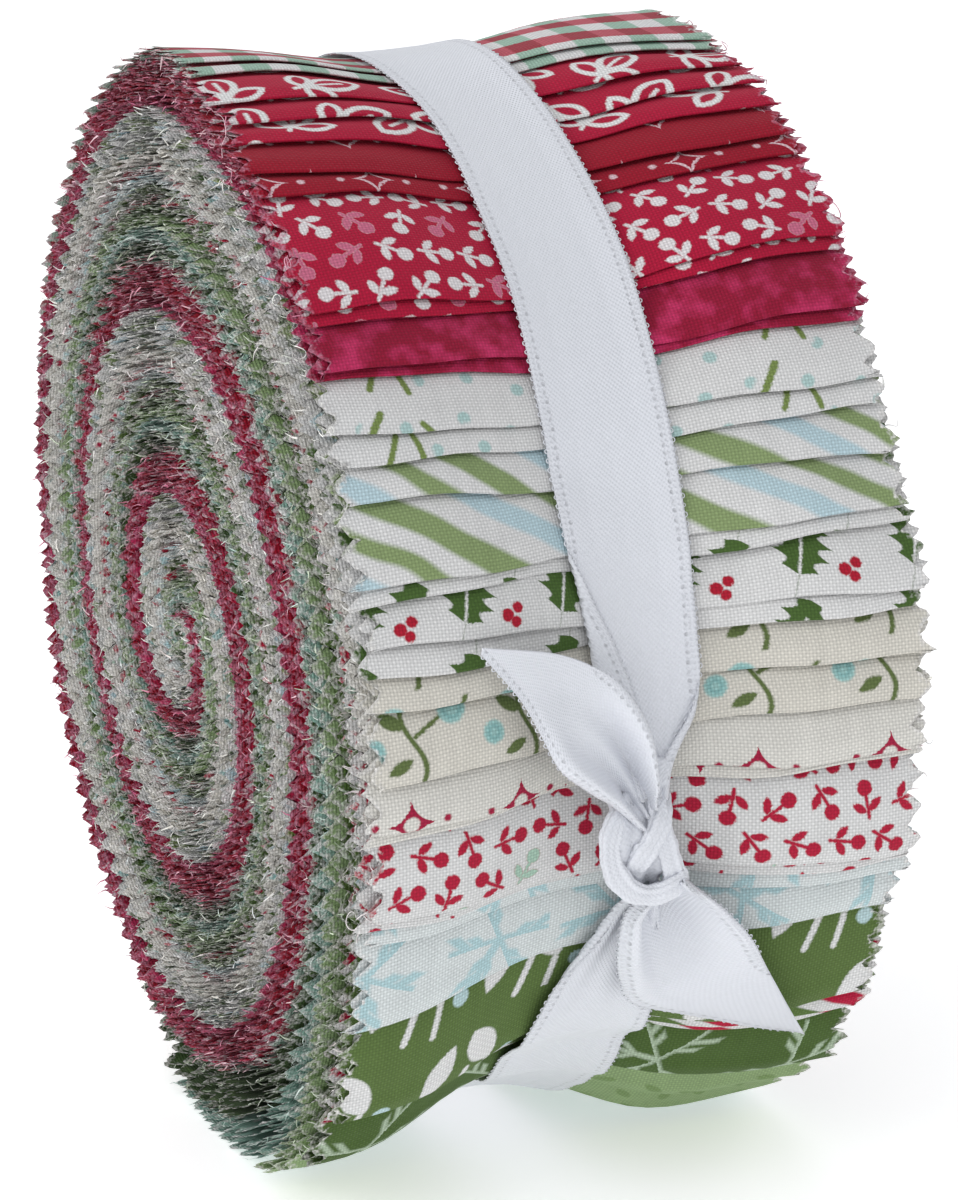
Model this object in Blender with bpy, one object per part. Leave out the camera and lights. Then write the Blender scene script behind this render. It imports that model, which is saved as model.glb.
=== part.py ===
"""A roll of quilting strips, tied with a satin ribbon.

Forty cotton strips with pinked edges are each folded in half, laid in one stack and wound up
from the inner end. The roll stands on its rim: X runs along its axis, Z is up, and the ends of
the strips step down its front. Clock angles are about the winding's hub: 0 is up, 90 the front
(-Y), 180 down and 270 the back. The origin is on the floor under the middle of the whole box.
"""
import math

import bmesh
import bpy
import numpy as np
from mathutils.geometry import delaunay_2d_cdt

MM = 0.001

for old in list(bpy.data.objects):
    bpy.data.objects.remove(old)


def material(name, colour, roughness):
    made = bpy.data.materials.new(name)
    made.use_nodes = True
    shader = made.node_tree.nodes["Principled BSDF"]
    shader.inputs["Base Color"].default_value = (*colour, 1)
    shader.inputs["Roughness"].default_value = roughness
    return made


def add_object(name, points, faces, finish):
    """One mesh object from points in millimetres, with outward normals and smooth shading."""
    mesh = bpy.data.meshes.new(name)
    mesh.from_pydata([tuple(c * MM for c in p) for p in points], [], faces)
    shape = bmesh.new()
    shape.from_mesh(mesh)
    bmesh.ops.recalc_face_normals(shape, faces=shape.faces)
    shape.to_mesh(mesh)
    shape.free()
    mesh.materials.append(finish)
    mesh.shade_smooth()
    mesh.set_sharp_from_angle(angle=math.radians(50))
    placed = bpy.data.objects.new(name, mesh)
    bpy.context.collection.objects.link(placed)
    return placed


def smooth_table(rows, column):
    """A smooth curve through one column of a table whose first column rises steadily."""
    keys = [row[0] for row in rows]
    values = [row[column] for row in rows]
    last = len(rows) - 1

    def slope(i):
        low, high = max(i - 1, 0), min(i + 1, last)
        return (values[high] - values[low]) / (keys[high] - keys[low])

    slopes = [slope(i) for i in range(last + 1)]

    def read(key):
        key = min(max(key, keys[0]), keys[last])
        i = min(int(np.searchsorted(keys, key, side="right")) - 1, last - 1)
        span = keys[i + 1] - keys[i]
        f = (key - keys[i]) / span
        rise = values[i + 1] - values[i]
        bend = f * (1 - f)
        return values[i] + rise * f * f * (3 - 2 * f) + span * bend * (
            slopes[i] * (1 - f) - slopes[i + 1] * f)

    return read


# --- The winding -----------------------------------------------------------------------------
STRIP_WIDTH = 63.5        # two and a half inches across the pinked points
STRIP_COUNT = 40
HALF_WIDTH = STRIP_WIDTH / 2
HUB_Y, HUB_Z = 8.9, 59.6  # the hub's place over the floor
FLOOR_CUT = 0.0           # the flat spot where the roll's weight presses its rim

# Radius of the stack's outer side at each clock angle, turn by turn from the hub.
WOUND = [  # clock, first turn, second turn, third turn
    (0, 1.5, 21.4, 43.3),
    (30, 2.8, 22.8, 44.6),
    (60, 5.5, 24.8, 46.0),
    (90, 8.0, 27.4, 47.6),
    (120, 10.3, 30.2, 49.4),
    (150, 12.2, 32.2, 51.4),
    (180, 13.6, 33.4, 52.2),
    (210, 15.0, 34.6, 52.6),
    (240, 16.8, 36.3, 53.0),
    (270, 18.4, 38.3, 54.2),
    (300, 19.6, 40.0, 56.4),
    (330, 20.8, 41.9, 60.6),
]
RIM_AT_TOP = 66.9

# Thickness of one folded strip on the rim, where the stack loosens as its strips end.
LOOSENED = [  # clock, strip thickness
    (0, 0.59),
    (30, 0.64),
    (60, 0.74),
    (90, 0.94),
    (120, 1.14),
    (150, 1.60),
    (172, 1.75),
    (186, 1.65),
    (210, 1.10),
]

# Where each folded strip ends on the rim, outermost first.
STRIP_ENDS = [  # print, clock at the left edge, clock at the right edge
    ("gingham", 8.0, 13.4), ("gingham", 10.9, 14.6),
    ("red_leaf", 17.7, 18.6), ("red_leaf", 21.5, 22.6), ("red_leaf", 25.3, 26.4),
    ("red_star", 30.0, 30.9), ("red_star", 32.8, 33.6),
    ("red_sprig", 47.2, 43.7), ("red_sprig", 48.2, 44.8),
    ("pink", 52.5, 51.6), ("pink", 53.4, 52.5),
    ("white_leaf", 58.6, 58.4), ("white_leaf", 61.2, 61.0),
    ("stripe", 64.7, 65.4), ("stripe", 72.3, 70.2),
    ("holly", 73.6, 72.0), ("holly", 77.6, 78.0), ("holly", 80.2, 79.6),
    ("berry", 82.8, 84.3), ("berry", 89.7, 88.0),
    ("cream_star", 94.0, 92.9), ("cream_star", 95.0, 94.0),
    ("white_sprig", 103.5, 103.8), ("white_sprig", 104.6, 105.0),
    ("snow", 106.3, 107.2), ("snow", 116.6, 110.8),
    ("green_leaf", 128.3, 122.0), ("green_leaf", 129.4, 123.2),
    ("plaid", 131.0, 126.0), ("plaid", 132.4, 127.6),
    ("green_snow", 140.2, 136.5), ("green_snow", 142.0, 138.4),
    ("light_green", 147.4, 145.0), ("light_green", 156.0, 154.2),
    ("mint", 174.0, 172.6), ("mint", 179.0, 178.0), ("mint", 184.0, 183.0),
    ("dark_green", 189.0, 188.0), ("dark_green", 194.0, 194.6), ("dark_green", 200.0, 201.0),
]

# The ribbon's line round the rim and how deep it draws the roll in.
CINCH_MEAN, CINCH_SWING, CINCH_DEEPEST = 3.8, 1.3, 150
CINCH_REACH = 14.0        # how far to each side of the ribbon the roll is drawn in
CINCH_SHAPE = 2.6         # flat under the ribbon, then easing out
RIBBON_LINE = [  # clock, place along the roll's axis
    (-160, -4.4), (-91, -3.2), (-24, -1.8), (8, -1.2), (22, 0.0), (36, 0.4), (60, -0.2),
    (80, -0.2), (97, -2.2), (108, -3.4), (125, -4.3), (150, -4.4), (200, -4.4),
]

wound_knots = [(turn + row[0] / 360, row[turn + 1]) for turn in range(3) for row in WOUND]
wound_radius = smooth_table(wound_knots + [(3.0, RIM_AT_TOP)], 1)
loosened = smooth_table(LOOSENED, 1)
ribbon_line = smooth_table(RIBBON_LINE, 1)
LAST_END = max(max(left, right) for _, left, right in STRIP_ENDS)


def end_clock(strip, across):
    """Clock angle where a strip ends, at a place across its width."""
    _, left, right = STRIP_ENDS[strip]
    share = across / STRIP_WIDTH + 0.5
    return left + (right - left) * share


def ends_after(clock, across):
    """How many strips reach past a clock angle at a place across the roll."""
    return sum(1 for strip in range(STRIP_COUNT) if end_clock(strip, across) > clock)


def stack_radius(clock, strips):
    """Radius over so many strips left on the rim, at a clock angle in the last turn."""
    if clock > LAST_END:
        return wound_radius(2 + clock / 360)
    return wound_radius(2 + clock / 360) + strips * loosened(clock)


def strips_left(clock):
    """How many strips lie on the rim, counted smoothly so that nothing steps."""
    ends = [(0, STRIP_COUNT)]
    ends += [((left + right) / 2, STRIP_COUNT - i - 0.5)
             for i, (_, left, right) in enumerate(STRIP_ENDS)]
    return float(np.interp(clock, [e[0] for e in ends], [e[1] for e in ends]))


def cinch(clock, across):
    """How far the ribbon draws the rim in at a place across the roll."""
    depth = CINCH_MEAN + CINCH_SWING * math.cos(math.radians(clock - CINCH_DEEPEST))
    line = ribbon_line(clock if clock < 200 else clock - 360)
    return depth * math.exp(-(abs(across - line) / CINCH_REACH) ** CINCH_SHAPE)


def place(clock, radius):
    """Y and Z of a point at a clock angle and radius about the hub."""
    angle = math.radians(clock)
    return HUB_Y - radius * math.sin(angle), HUB_Z + radius * math.cos(angle)


def on_roll(clock, radius, across):
    y, z = place(clock, radius)
    return across, y, max(z, FLOOR_CUT)


# --- The rim's outline: each strip's folded end is a crest, then a foot on the strip below -----
FILL_STEP = 5.0           # degrees between points where nothing ends
FILL_START, FILL_STOP = 0.10, 0.85     # the part of each stretch that such points share


def rim_columns():
    """Points round the rim as (strip or None, share of its stretch, strips on the rim, part)."""
    columns = []
    for strip in range(STRIP_COUNT):
        before = STRIP_ENDS[strip - 1][1] if strip else 0.0
        gap = STRIP_ENDS[strip][1] - before
        extra = int(gap / FILL_STEP)
        left = STRIP_COUNT - strip
        columns += [(strip, (i + 0.5) / extra, left, "fill") for i in range(extra)]
        columns += [(strip, 1.0, left, part) for part in ("crest", "foot")]
    steps = int((360 - LAST_END) / FILL_STEP)
    columns += [(None, i / steps, 0, "back") for i in range(steps)]
    return columns


COLUMNS = rim_columns()
NOSE_DEGREES, FOOT_DEGREES = 0.35, 0.12
EDGE_MARGIN = 2.0         # degrees kept clear past a strip's end
PRESSED = 0.6             # share of the steps that the ribbon presses out
LOWEST_CLOCK, LOWEST_REACH = 172, 13   # where the floor presses the steps out


def rim_point(column, across):
    """Clock angle and radius of one outline point at a place across the roll."""
    strip, share, left, part = column
    if part == "back":
        start = end_clock(STRIP_COUNT - 1, across) + EDGE_MARGIN
        clock = start + (360 - start) * share
        return clock, wound_radius(2 + clock / 360) - cinch(clock, across)
    end = end_clock(strip, across)
    before = end_clock(strip - 1, across) if strip else 0.0
    gap = end - before
    if part == "fill":
        clock = before + gap * (FILL_START + (FILL_STOP - FILL_START) * share)
        level = left
    elif part == "crest":
        clock = end - min(NOSE_DEGREES, 0.4 * gap)
        level = left
    else:
        clock = end + min(FOOT_DEGREES, 0.1 * gap)
        level = left - 1
    return clock, pressed_radius(clock, across, level)


def pressed_radius(clock, across, strips):
    """Radius over so many strips, drawn in and pressed smooth by the ribbon and the floor."""
    drawn = cinch(clock, across)
    by_ribbon = PRESSED * drawn / (CINCH_MEAN + CINCH_SWING)
    by_floor = math.exp(-((clock - LOWEST_CLOCK) / LOWEST_REACH) ** 4)
    strips += (strips_left(clock) - strips) * max(by_ribbon, by_floor)
    return stack_radius(clock, strips) - drawn


STATIONS = 11             # rings of points across the roll's width
FACE_EDGE = 0.5           # how far the rim's edge lies inside the pinked points


def edge_wander(index):
    """Small unevenness of the strips' edges along the rim, side to side."""
    return 0.35 * math.sin(index * 2.4) + 0.25 * math.sin(index * 1.1 + 1.0)


# --- The two faces: the stack's three groups of colour stand a little proud in a spiral -------
BANDS = [  # depth into the stack, height of the face there
    (0.00, -0.7), (0.14, 0.5), (0.29, -0.2), (0.47, 0.5), (0.66, -0.3), (0.83, 0.4),
]
FACE_STEP = 9.0           # degrees between points of the spiral
HUB_CLEAR = 3.5
RIM_CLEAR = 1.6
DISH = 1.2                # how far the hub lies deeper than the rim


def face_points():
    """Points of the spiral as (y, z, height over the face's edge)."""
    points = [(HUB_Y, HUB_Z, -DISH)]
    for turn_step in range(int((3 + LAST_END / 360) * 360 / FACE_STEP)):
        turns = turn_step * FACE_STEP / 360
        for depth, height in BANDS:
            if turns > 3:
                clock = (turns - 3) * 360
                inside = wound_radius(turns - 1)
                full = stack_radius(clock, STRIP_COUNT) - inside
            else:
                clock = turns * 360
                inside = wound_radius(turns - 1) if turns >= 1 else 0
                full = wound_radius(turns) - inside
            radius = inside + full * (1 - depth)
            if radius < HUB_CLEAR or radius > edge_radius(clock % 360) - RIM_CLEAR:
                continue
            y, z = place(clock, radius)
            if z < FLOOR_CUT + RIM_CLEAR:
                continue
            dish = DISH * (1 - min(radius / 60, 1)) ** 2
            points.append((y, z, height - dish))
    return points


def edge_radius(clock):
    """Least radius of the rim near a clock angle, at the roll's edges."""
    return stack_radius(clock, min(ends_after(clock + EDGE_MARGIN, -HALF_WIDTH),
                                   ends_after(clock + EDGE_MARGIN, HALF_WIDTH)))


def build_roll():
    """The whole wound roll as one solid: the rim's rings closed by two spiral faces."""
    count = len(COLUMNS)
    points = []
    for station in range(STATIONS):
        share = station / (STATIONS - 1)
        across = (share - 0.5) * (STRIP_WIDTH - 2 * FACE_EDGE)
        side = -1 if station == 0 else 1 if station == STATIONS - 1 else 0
        for index, column in enumerate(COLUMNS):
            clock, radius = rim_point(column, across)
            points.append(on_roll(clock, radius, across + side * edge_wander(index + station)))
    faces = []
    for station in range(STATIONS - 1):
        for i in range(count):
            j = (i + 1) % count
            low, high = station * count, (station + 1) * count
            faces.append((low + i, low + j, high + j, high + i))
    for side in (-1, 1):
        first = 0 if side < 0 else (STATIONS - 1) * count
        ring = [points[first + i] for i in range(count)]
        spiral = face_points()
        flat = [(p[1], p[2]) for p in ring] + [(y, z) for y, z, _ in spiral]
        made, _, triangles, source, _, _ = delaunay_2d_cdt(
            flat, [], [list(range(count))], 1, 1e-6)
        where = {}
        for index, came_from in enumerate(source):
            original = came_from[0] if came_from else None
            if original is not None and original < count:
                where[index] = first + original
                continue
            y, z = made[index]
            height = spiral[original - count][2] if original is not None else 0
            where[index] = len(points)
            points.append((side * (HALF_WIDTH - FACE_EDGE + height), y, z))
        faces += [tuple(where[i] for i in triangle) for triangle in triangles]
    return add_object("strip_roll", points, faces, material("cotton", (0.62, 0.30, 0.30), 0.9))


# --- The satin ribbon: one length, once round the roll and tied in a single knot --------------
RIBBON_WIDTH = 14.0
RIBBON_THICK = 1.0
RIBBON_GAP = 0.35         # clear of the strips under it

# The band from the knot's upper side, over the top, down the back and up to the knot again.
BAND = [  # clock, half its width, height over the drawn-in rim
    (-257, 2.6, 1.6),
    (-252, 4.4, 0.9),
    (-246, 6.2, 0.3),
    (-238, 7.0, 0.0),
    (-120, 7.0, 0.0),
    (0, 7.0, 0.0),
    (66, 7.0, 0.0),
    (74, 6.7, 0.1),
    (82, 5.6, 0.5),
    (88, 4.0, 1.1),
    (93, 2.4, 1.9),
]
BAND_STEP = 2.5           # degrees between its stations

# Each tail's two long edges from the knot to the slant-cut tip.
UPPER_TAIL = [  # along, clock, place, lift of one edge, then of the other
    (0, 94.4, -2.0, 4.0, 96.6, -4.6, 4.0),
    (1, 90.5, -2.2, 5.0, 94.4, -7.2, 4.2),
    (2, 87.0, -2.6, 5.2, 92.6, -9.2, 3.2),
    (3, 83.6, -4.3, 5.2, 89.8, -12.0, 2.8),
    (4, 81.2, -7.2, 5.2, 85.4, -15.0, 2.4),
    (5, 80.0, -12.0, 4.6, 81.4, -17.8, 2.6),
    (6, 78.9, -18.2, 3.8, 78.6, -20.0, 3.6),
]
LOWER_TAIL = [
    (0, 99.2, -0.4, 5.0, 100.8, -3.4, 5.0),
    (1, 101.6, 3.4, 5.4, 104.8, -4.0, 4.6),
    (2, 104.0, 6.9, 5.0, 108.8, -3.4, 4.0),
    (3, 107.8, 10.5, 4.2, 113.4, -1.2, 3.0),
    (4, 113.6, 15.2, 3.4, 117.6, 4.7, 2.6),
    (5, 119.6, 19.7, 2.6, 120.6, 11.6, 2.4),
    (6, 124.6, 22.9, 2.4, 123.8, 20.4, 2.4),
]
TAIL_STATIONS = 13
TAIL_SHARES = (0.0, 0.25, 0.5, 0.75, 1.0)
TAIL_CROWN = 0.9          # how far a tail arches between its long edges

KNOT_CLOCK, KNOT_PLACE, KNOT_LIFT = 97.8, -2.3, 3.2
KNOT_SIZE = (4.7, 3.5, 6.2)   # half sizes along the axis, outward and down the rim
KNOT_RINGS, KNOT_SIDES = 10, 16
KNOT_TWIST, KNOT_GROOVE = 2.0, 0.10


def rim_radius(clock, across):
    """Radius of the roll's rim at a clock angle and place, lips included."""
    turn = clock % 360
    if turn > LAST_END + 3:
        return wound_radius(2 + turn / 360) - cinch(turn, across)
    return pressed_radius(turn, across, ends_after(turn, across))


def under_band(clock, half_width):
    """Highest radius of the rim under a short stretch of the band."""
    line = ribbon_line(clock)
    reach = [rim_radius(clock + step * 0.8, line + side * half_width)
             for step in range(-4, 5) for side in (-1, -0.5, 0, 0.5, 1)]
    return max(reach)


def close_loft(name, sections):
    """A closed solid through equal rings of points, with flat ends."""
    size = len(sections[0])
    points = [point for section in sections for point in section]
    faces = []
    for i in range(len(sections) - 1):
        for k in range(size):
            n = (k + 1) % size
            faces.append((i * size + k, i * size + n, (i + 1) * size + n, (i + 1) * size + k))
    faces.append(tuple(range(size)))
    faces.append(tuple(range((len(sections) - 1) * size, len(points))))
    return add_object(name, points, faces, satin)


def at(clock, radius, across):
    y, z = place(clock, radius)
    return across, y, z


def build_band():
    half_width, height = smooth_table(BAND, 1), smooth_table(BAND, 2)
    first, last = BAND[0][0], BAND[-1][0]
    steps = int((last - first) / BAND_STEP)
    sections = []
    for i in range(steps + 1):
        clock = first + (last - first) * i / steps
        half, line = half_width(clock), ribbon_line(clock)
        inner = under_band(clock, half) + RIBBON_GAP + height(clock)
        outer = inner + RIBBON_THICK
        sections.append([at(clock, inner, line - half), at(clock, inner, line + half),
                         at(clock, outer, line + half), at(clock, outer, line - half)])
    return close_loft("ribbon_band", sections)


def build_tail(name, rows):
    """A curved leaf of ribbon between its two long edges."""
    edges = [smooth_table(rows, column) for column in range(1, 7)]
    sections = []
    for i in range(TAIL_STATIONS):
        along = rows[-1][0] * i / (TAIL_STATIONS - 1)
        clock_a, place_a, lift_a, clock_b, place_b, lift_b = [edge(along) for edge in edges]
        under, over = [], []
        for share in TAIL_SHARES:
            clock = clock_a + (clock_b - clock_a) * share
            across = place_a + (place_b - place_a) * share
            arch = TAIL_CROWN * 4 * share * (1 - share)
            base = stack_radius(clock, strips_left(clock)) + arch
            lift = lift_a + (lift_b - lift_a) * share
            under.append(at(clock, base + lift - RIBBON_THICK, across))
            over.append(at(clock, base + lift, across))
        sections.append(under + over[::-1])
    return close_loft(name, sections)


def build_knot():
    """The single knot: a rounded lump with the wrap's twisted grooves."""
    y, z = place(KNOT_CLOCK, stack_radius(KNOT_CLOCK, strips_left(KNOT_CLOCK)) + KNOT_LIFT
                 - cinch(KNOT_CLOCK, KNOT_PLACE) * 0.5)
    turn = math.radians(KNOT_CLOCK - 90)
    sections = []
    for ring in range(KNOT_RINGS + 1):
        tilt = math.pi * (0.06 + 0.88 * ring / KNOT_RINGS)
        section = []
        for side in range(KNOT_SIDES):
            angle = 2 * math.pi * side / KNOT_SIDES
            groove = 1 + KNOT_GROOVE * math.cos(3 * angle + KNOT_TWIST * tilt)
            x = KNOT_SIZE[0] * math.sin(tilt) * math.cos(angle) * groove
            out = KNOT_SIZE[1] * math.sin(tilt) * math.sin(angle) * groove
            down = KNOT_SIZE[2] * math.cos(tilt)
            section.append((KNOT_PLACE + x,
                            y - out * math.cos(turn) + down * math.sin(turn),
                            z - out * math.sin(turn) - down * math.cos(turn)))
        sections.append(section)
    return close_loft("ribbon_knot", sections)


def join_solids(name, parts):
    """One solid from several that overlap."""
    base = parts[0]
    for other in parts[1:]:
        cut = base.modifiers.new("join", "BOOLEAN")
        cut.operation = "UNION"
        cut.object = other
        bpy.context.view_layer.update()
        mesh = bpy.data.meshes.new_from_object(
            base.evaluated_get(bpy.context.evaluated_depsgraph_get()))
        base.modifiers.clear()
        base.data = mesh
        bpy.data.objects.remove(other)
    base.name = name
    base.data.name = name
    return base


build_roll()
satin = material("satin", (0.86, 0.87, 0.90), 0.4)
join_solids("ribbon_tie", [
    build_band(), build_knot(), build_tail("upper", UPPER_TAIL), build_tail("lower", LOWER_TAIL)])
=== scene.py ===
"""A roll of quilting strips, tied with a satin ribbon, dressed for its picture.

Forty cotton strips with pinked edges are folded in half, stacked and wound up from the inner
end. The roll stands on its rim: X runs along its axis and Z is up. Clock angles are about the
winding's hub: 0 is up, 90 the front (-Y), 180 down and 270 the back. Sizes are in millimetres
until a mesh is made.
"""
import math
from functools import partialmethod

import bpy
import numpy as np
from mathutils import Matrix, Vector


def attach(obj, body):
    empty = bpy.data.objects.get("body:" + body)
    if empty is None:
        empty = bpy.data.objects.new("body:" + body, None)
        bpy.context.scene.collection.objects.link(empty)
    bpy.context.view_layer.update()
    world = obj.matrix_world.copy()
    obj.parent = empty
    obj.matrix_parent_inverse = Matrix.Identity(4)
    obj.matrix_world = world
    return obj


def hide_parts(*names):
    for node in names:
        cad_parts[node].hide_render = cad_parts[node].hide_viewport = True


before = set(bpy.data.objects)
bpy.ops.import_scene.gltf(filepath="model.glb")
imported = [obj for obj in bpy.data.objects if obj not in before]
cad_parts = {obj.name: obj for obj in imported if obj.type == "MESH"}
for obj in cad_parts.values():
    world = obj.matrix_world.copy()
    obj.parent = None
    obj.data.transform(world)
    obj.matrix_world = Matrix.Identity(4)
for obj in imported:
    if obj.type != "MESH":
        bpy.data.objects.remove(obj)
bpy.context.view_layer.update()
MM = 0.001

# --- The studio: a long lens to the roll's left and a little above it, soft lamps all round it, ---
# the nearest facing its left face, and a pale floor that runs out of sight.
AIM = Vector((2.3, -2.7, 61.8)) * MM
CAMERA_AWAY = 0.500
CAMERA_LEFT, CAMERA_UP, CAMERA_TILT = 21.27, 15.46, -1.21     # degrees
FLOOR_REACH = 8


def set_out(name, data):
    """Puts a mesh, a lamp or the camera in the scene as an object of its own."""
    made = bpy.data.objects.new(name, data)
    bpy.context.collection.objects.link(made)
    return made


def new_finish(name, looks):
    """A material, its node tree and its shader, with the shader's plain values set."""
    made = bpy.data.materials.new(name)
    made.use_nodes = True
    shader = made.node_tree.nodes["Principled BSDF"]
    for label, value in looks.items():
        shader.inputs[label].default_value = value
    return made, made.node_tree, shader


camera = set_out("camera", bpy.data.cameras.new("camera"))
bpy.context.scene.camera = camera
camera.data.lens, camera.data.sensor_width = 129.7, 36.0
camera.data.clip_start, camera.data.clip_end = 0.05, 20
turned = Matrix.Rotation(math.radians(-CAMERA_LEFT), 4, "Z")
raised = Matrix.Rotation(math.radians(90 - CAMERA_UP), 4, "X")
tilted = Matrix.Rotation(math.radians(CAMERA_TILT), 4, "Z")
facing = turned @ raised @ tilted
camera.matrix_world = Matrix.Translation(AIM + facing.col[2].to_3d() * CAMERA_AWAY) @ facing

for name, place, size, watts in (
    ("key_lamp", (-0.45, -0.65, 1.05), 0.9, 3.0),
    ("side_lamp", (-1.15, 0.05, 0.30), 1.0, 10.6),
    ("fill_lamp", (0.8, -1.0, 0.35), 1.2, 0.7),
    ("back_lamp", (0.2, 0.9, 1.2), 1.0, 2.0),
    ("far_lamp", (1.15, 0.45, 0.45), 1.0, 5.0),
):
    lamp = set_out(name, bpy.data.lights.new(name, "AREA"))
    lamp.data.energy, lamp.data.size = watts, size
    lamp.location = place
    lamp.rotation_euler = (AIM - Vector(place)).to_track_quat("-Z", "Y").to_euler()

world = bpy.data.worlds.new("studio")
world.use_nodes = True
world.node_tree.nodes["Background"].inputs["Color"].default_value = (0.95, 0.97, 1.0, 1)
world.node_tree.nodes["Background"].inputs["Strength"].default_value = 0.56
bpy.context.scene.world = world
bpy.context.scene.view_settings.view_transform = "Standard"

floor_mesh = bpy.data.meshes.new("floor")
floor_mesh.from_pydata([(x * FLOOR_REACH, y * FLOOR_REACH, 0)
                        for x, y in ((-1, -1), (1, -1), (1, 1), (-1, 1))], [], [(0, 1, 2, 3)])
floor_mesh.materials.append(new_finish("floor_paper", {
    "Base Color": (0.88, 0.88, 0.88, 1), "Emission Color": (1.0, 1.0, 1.0, 1),
    "Emission Strength": 0.42, "Roughness": 0.7})[0])
floor = set_out("floor", floor_mesh)

# --- The two gingham strips: the outermost of the stack, so that they wrap the roll's back ------
# and top. Quilting cotton, pinked along both edges, folded in half and wound with the rest.
# How all forty strips lie in the winding is worked out here, where it is first needed.
STRIP_WIDTH = 63.5        # two and a half inches across the pinked points
STRIP_COUNT = 40
HALF_WIDTH = STRIP_WIDTH / 2
HUB_Y, HUB_Z = 8.9, 59.6
HUB_RADIUS = 1.5

# Radius of the stack's outer side at each clock angle, turn by turn from the hub.
WOUND = [  # clock, first turn, second turn, third turn
    (0, 1.5, 21.4, 43.3),
    (30, 2.8, 22.8, 44.6),
    (60, 5.5, 24.8, 46.0),
    (90, 8.0, 27.4, 47.6),
    (120, 10.3, 30.2, 49.4),
    (150, 12.2, 32.2, 51.4),
    (180, 13.6, 33.4, 52.2),
    (210, 15.0, 34.6, 52.6),
    (240, 16.8, 36.3, 53.0),
    (270, 18.4, 38.3, 54.2),
    (300, 19.6, 40.0, 56.4),
    (330, 20.8, 41.9, 60.6),
]
RIM_AT_TOP = 66.9

# Thickness of one folded strip on the rim, where the stack loosens as its strips end.
LOOSENED = [  # clock, strip thickness
    (0, 0.59), (30, 0.64), (60, 0.74), (90, 0.94), (120, 1.14),
    (150, 1.60), (172, 1.75), (186, 1.65), (210, 1.10),
]

# Where each folded strip ends on the rim, outermost first.
STRIP_ENDS = [  # print, clock at the left edge, clock at the right edge
    ("gingham", 8.0, 13.4), ("gingham", 10.9, 14.6),
    ("red_leaf", 17.7, 18.6), ("red_leaf", 21.5, 22.6), ("red_leaf", 25.3, 26.4),
    ("red_star", 30.0, 30.9), ("red_star", 32.8, 33.6),
    ("red_sprig", 47.2, 43.7), ("red_sprig", 48.2, 44.8),
    ("pink", 52.5, 51.6), ("pink", 53.4, 52.5),
    ("white_leaf", 58.6, 58.4), ("white_leaf", 61.2, 61.0),
    ("stripe", 64.7, 65.4), ("stripe", 72.3, 70.2),
    ("holly", 73.6, 72.0), ("holly", 77.6, 78.0), ("holly", 80.2, 79.6),
    ("berry", 82.8, 84.3), ("berry", 89.7, 88.0),
    ("cream_star", 94.0, 92.9), ("cream_star", 95.0, 94.0),
    ("white_sprig", 103.5, 103.8), ("white_sprig", 104.6, 105.0),
    ("snow", 106.3, 107.2), ("snow", 116.6, 110.8),
    ("green_leaf", 128.3, 122.0), ("green_leaf", 129.4, 123.2),
    ("plaid", 131.0, 126.0), ("plaid", 132.4, 127.6),
    ("green_snow", 140.2, 136.5), ("green_snow", 142.0, 138.4),
    ("light_green", 147.4, 145.0), ("light_green", 156.0, 154.2),
    ("mint", 174.0, 172.6), ("mint", 179.0, 178.0), ("mint", 184.0, 183.0),
    ("dark_green", 189.0, 188.0), ("dark_green", 194.0, 194.6), ("dark_green", 200.0, 201.0),
]

# The ribbon's line round the rim and how deep it draws the roll in.
CINCH_MEAN, CINCH_SWING, CINCH_DEEPEST = 3.8, 1.3, 150
CINCH_REACH, CINCH_SHAPE = 14.0, 2.6
RIBBON_LINE = [  # clock, place along the roll's axis
    (-160, -4.4), (-91, -3.2), (-24, -1.8), (8, -1.2), (22, 0.0), (36, 0.4), (60, -0.2),
    (80, -0.2), (97, -2.2), (108, -3.4), (125, -4.3), (150, -4.4), (200, -4.4),
]


def smooth_table(rows, column):
    """A smooth curve through one column of a table whose first column rises steadily."""
    keys = np.array([row[0] for row in rows], float)
    values = np.array([row[column] for row in rows], float)
    low = np.maximum(np.arange(len(keys)) - 1, 0)
    high = np.minimum(np.arange(len(keys)) + 1, len(keys) - 1)
    slopes = (values[high] - values[low]) / (keys[high] - keys[low])

    def read(key):
        key = np.clip(key, keys[0], keys[-1])
        i = np.clip(np.searchsorted(keys, key, side="right") - 1, 0, len(keys) - 2)
        span = keys[i + 1] - keys[i]
        f = (key - keys[i]) / span
        rise = values[i + 1] - values[i]
        bend = f * (1 - f)
        return values[i] + rise * f * f * (3 - 2 * f) + span * bend * (
            slopes[i] * (1 - f) - slopes[i + 1] * f)

    return read


wound_knots = [(turn + row[0] / 360, row[turn + 1]) for turn in range(3) for row in WOUND]
wound_radius = smooth_table(wound_knots + [(3.0, RIM_AT_TOP)], 1)
loosened = smooth_table(LOOSENED, 1)
ribbon_line = smooth_table(RIBBON_LINE, 1)
LAST_END = max(max(left, right) for _, left, right in STRIP_ENDS)


def ease(share):
    """Nought to one with a soft start and finish."""
    share = np.clip(share, 0, 1)
    return share * share * (3 - 2 * share)


def end_clock(strip, across):
    """Clock angle where a strip ends; before the first comes the innermost one's end."""
    if strip < 0:
        return LAST_END - 360 + 0 * across
    _, left, right = STRIP_ENDS[strip]
    waver = 0.22 * np.sin(across * 0.16 + strip * 2.1) + 0.12 * np.sin(across * 0.41 + strip)
    return left + (right - left) * (across / STRIP_WIDTH + 0.5) + waver


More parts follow.
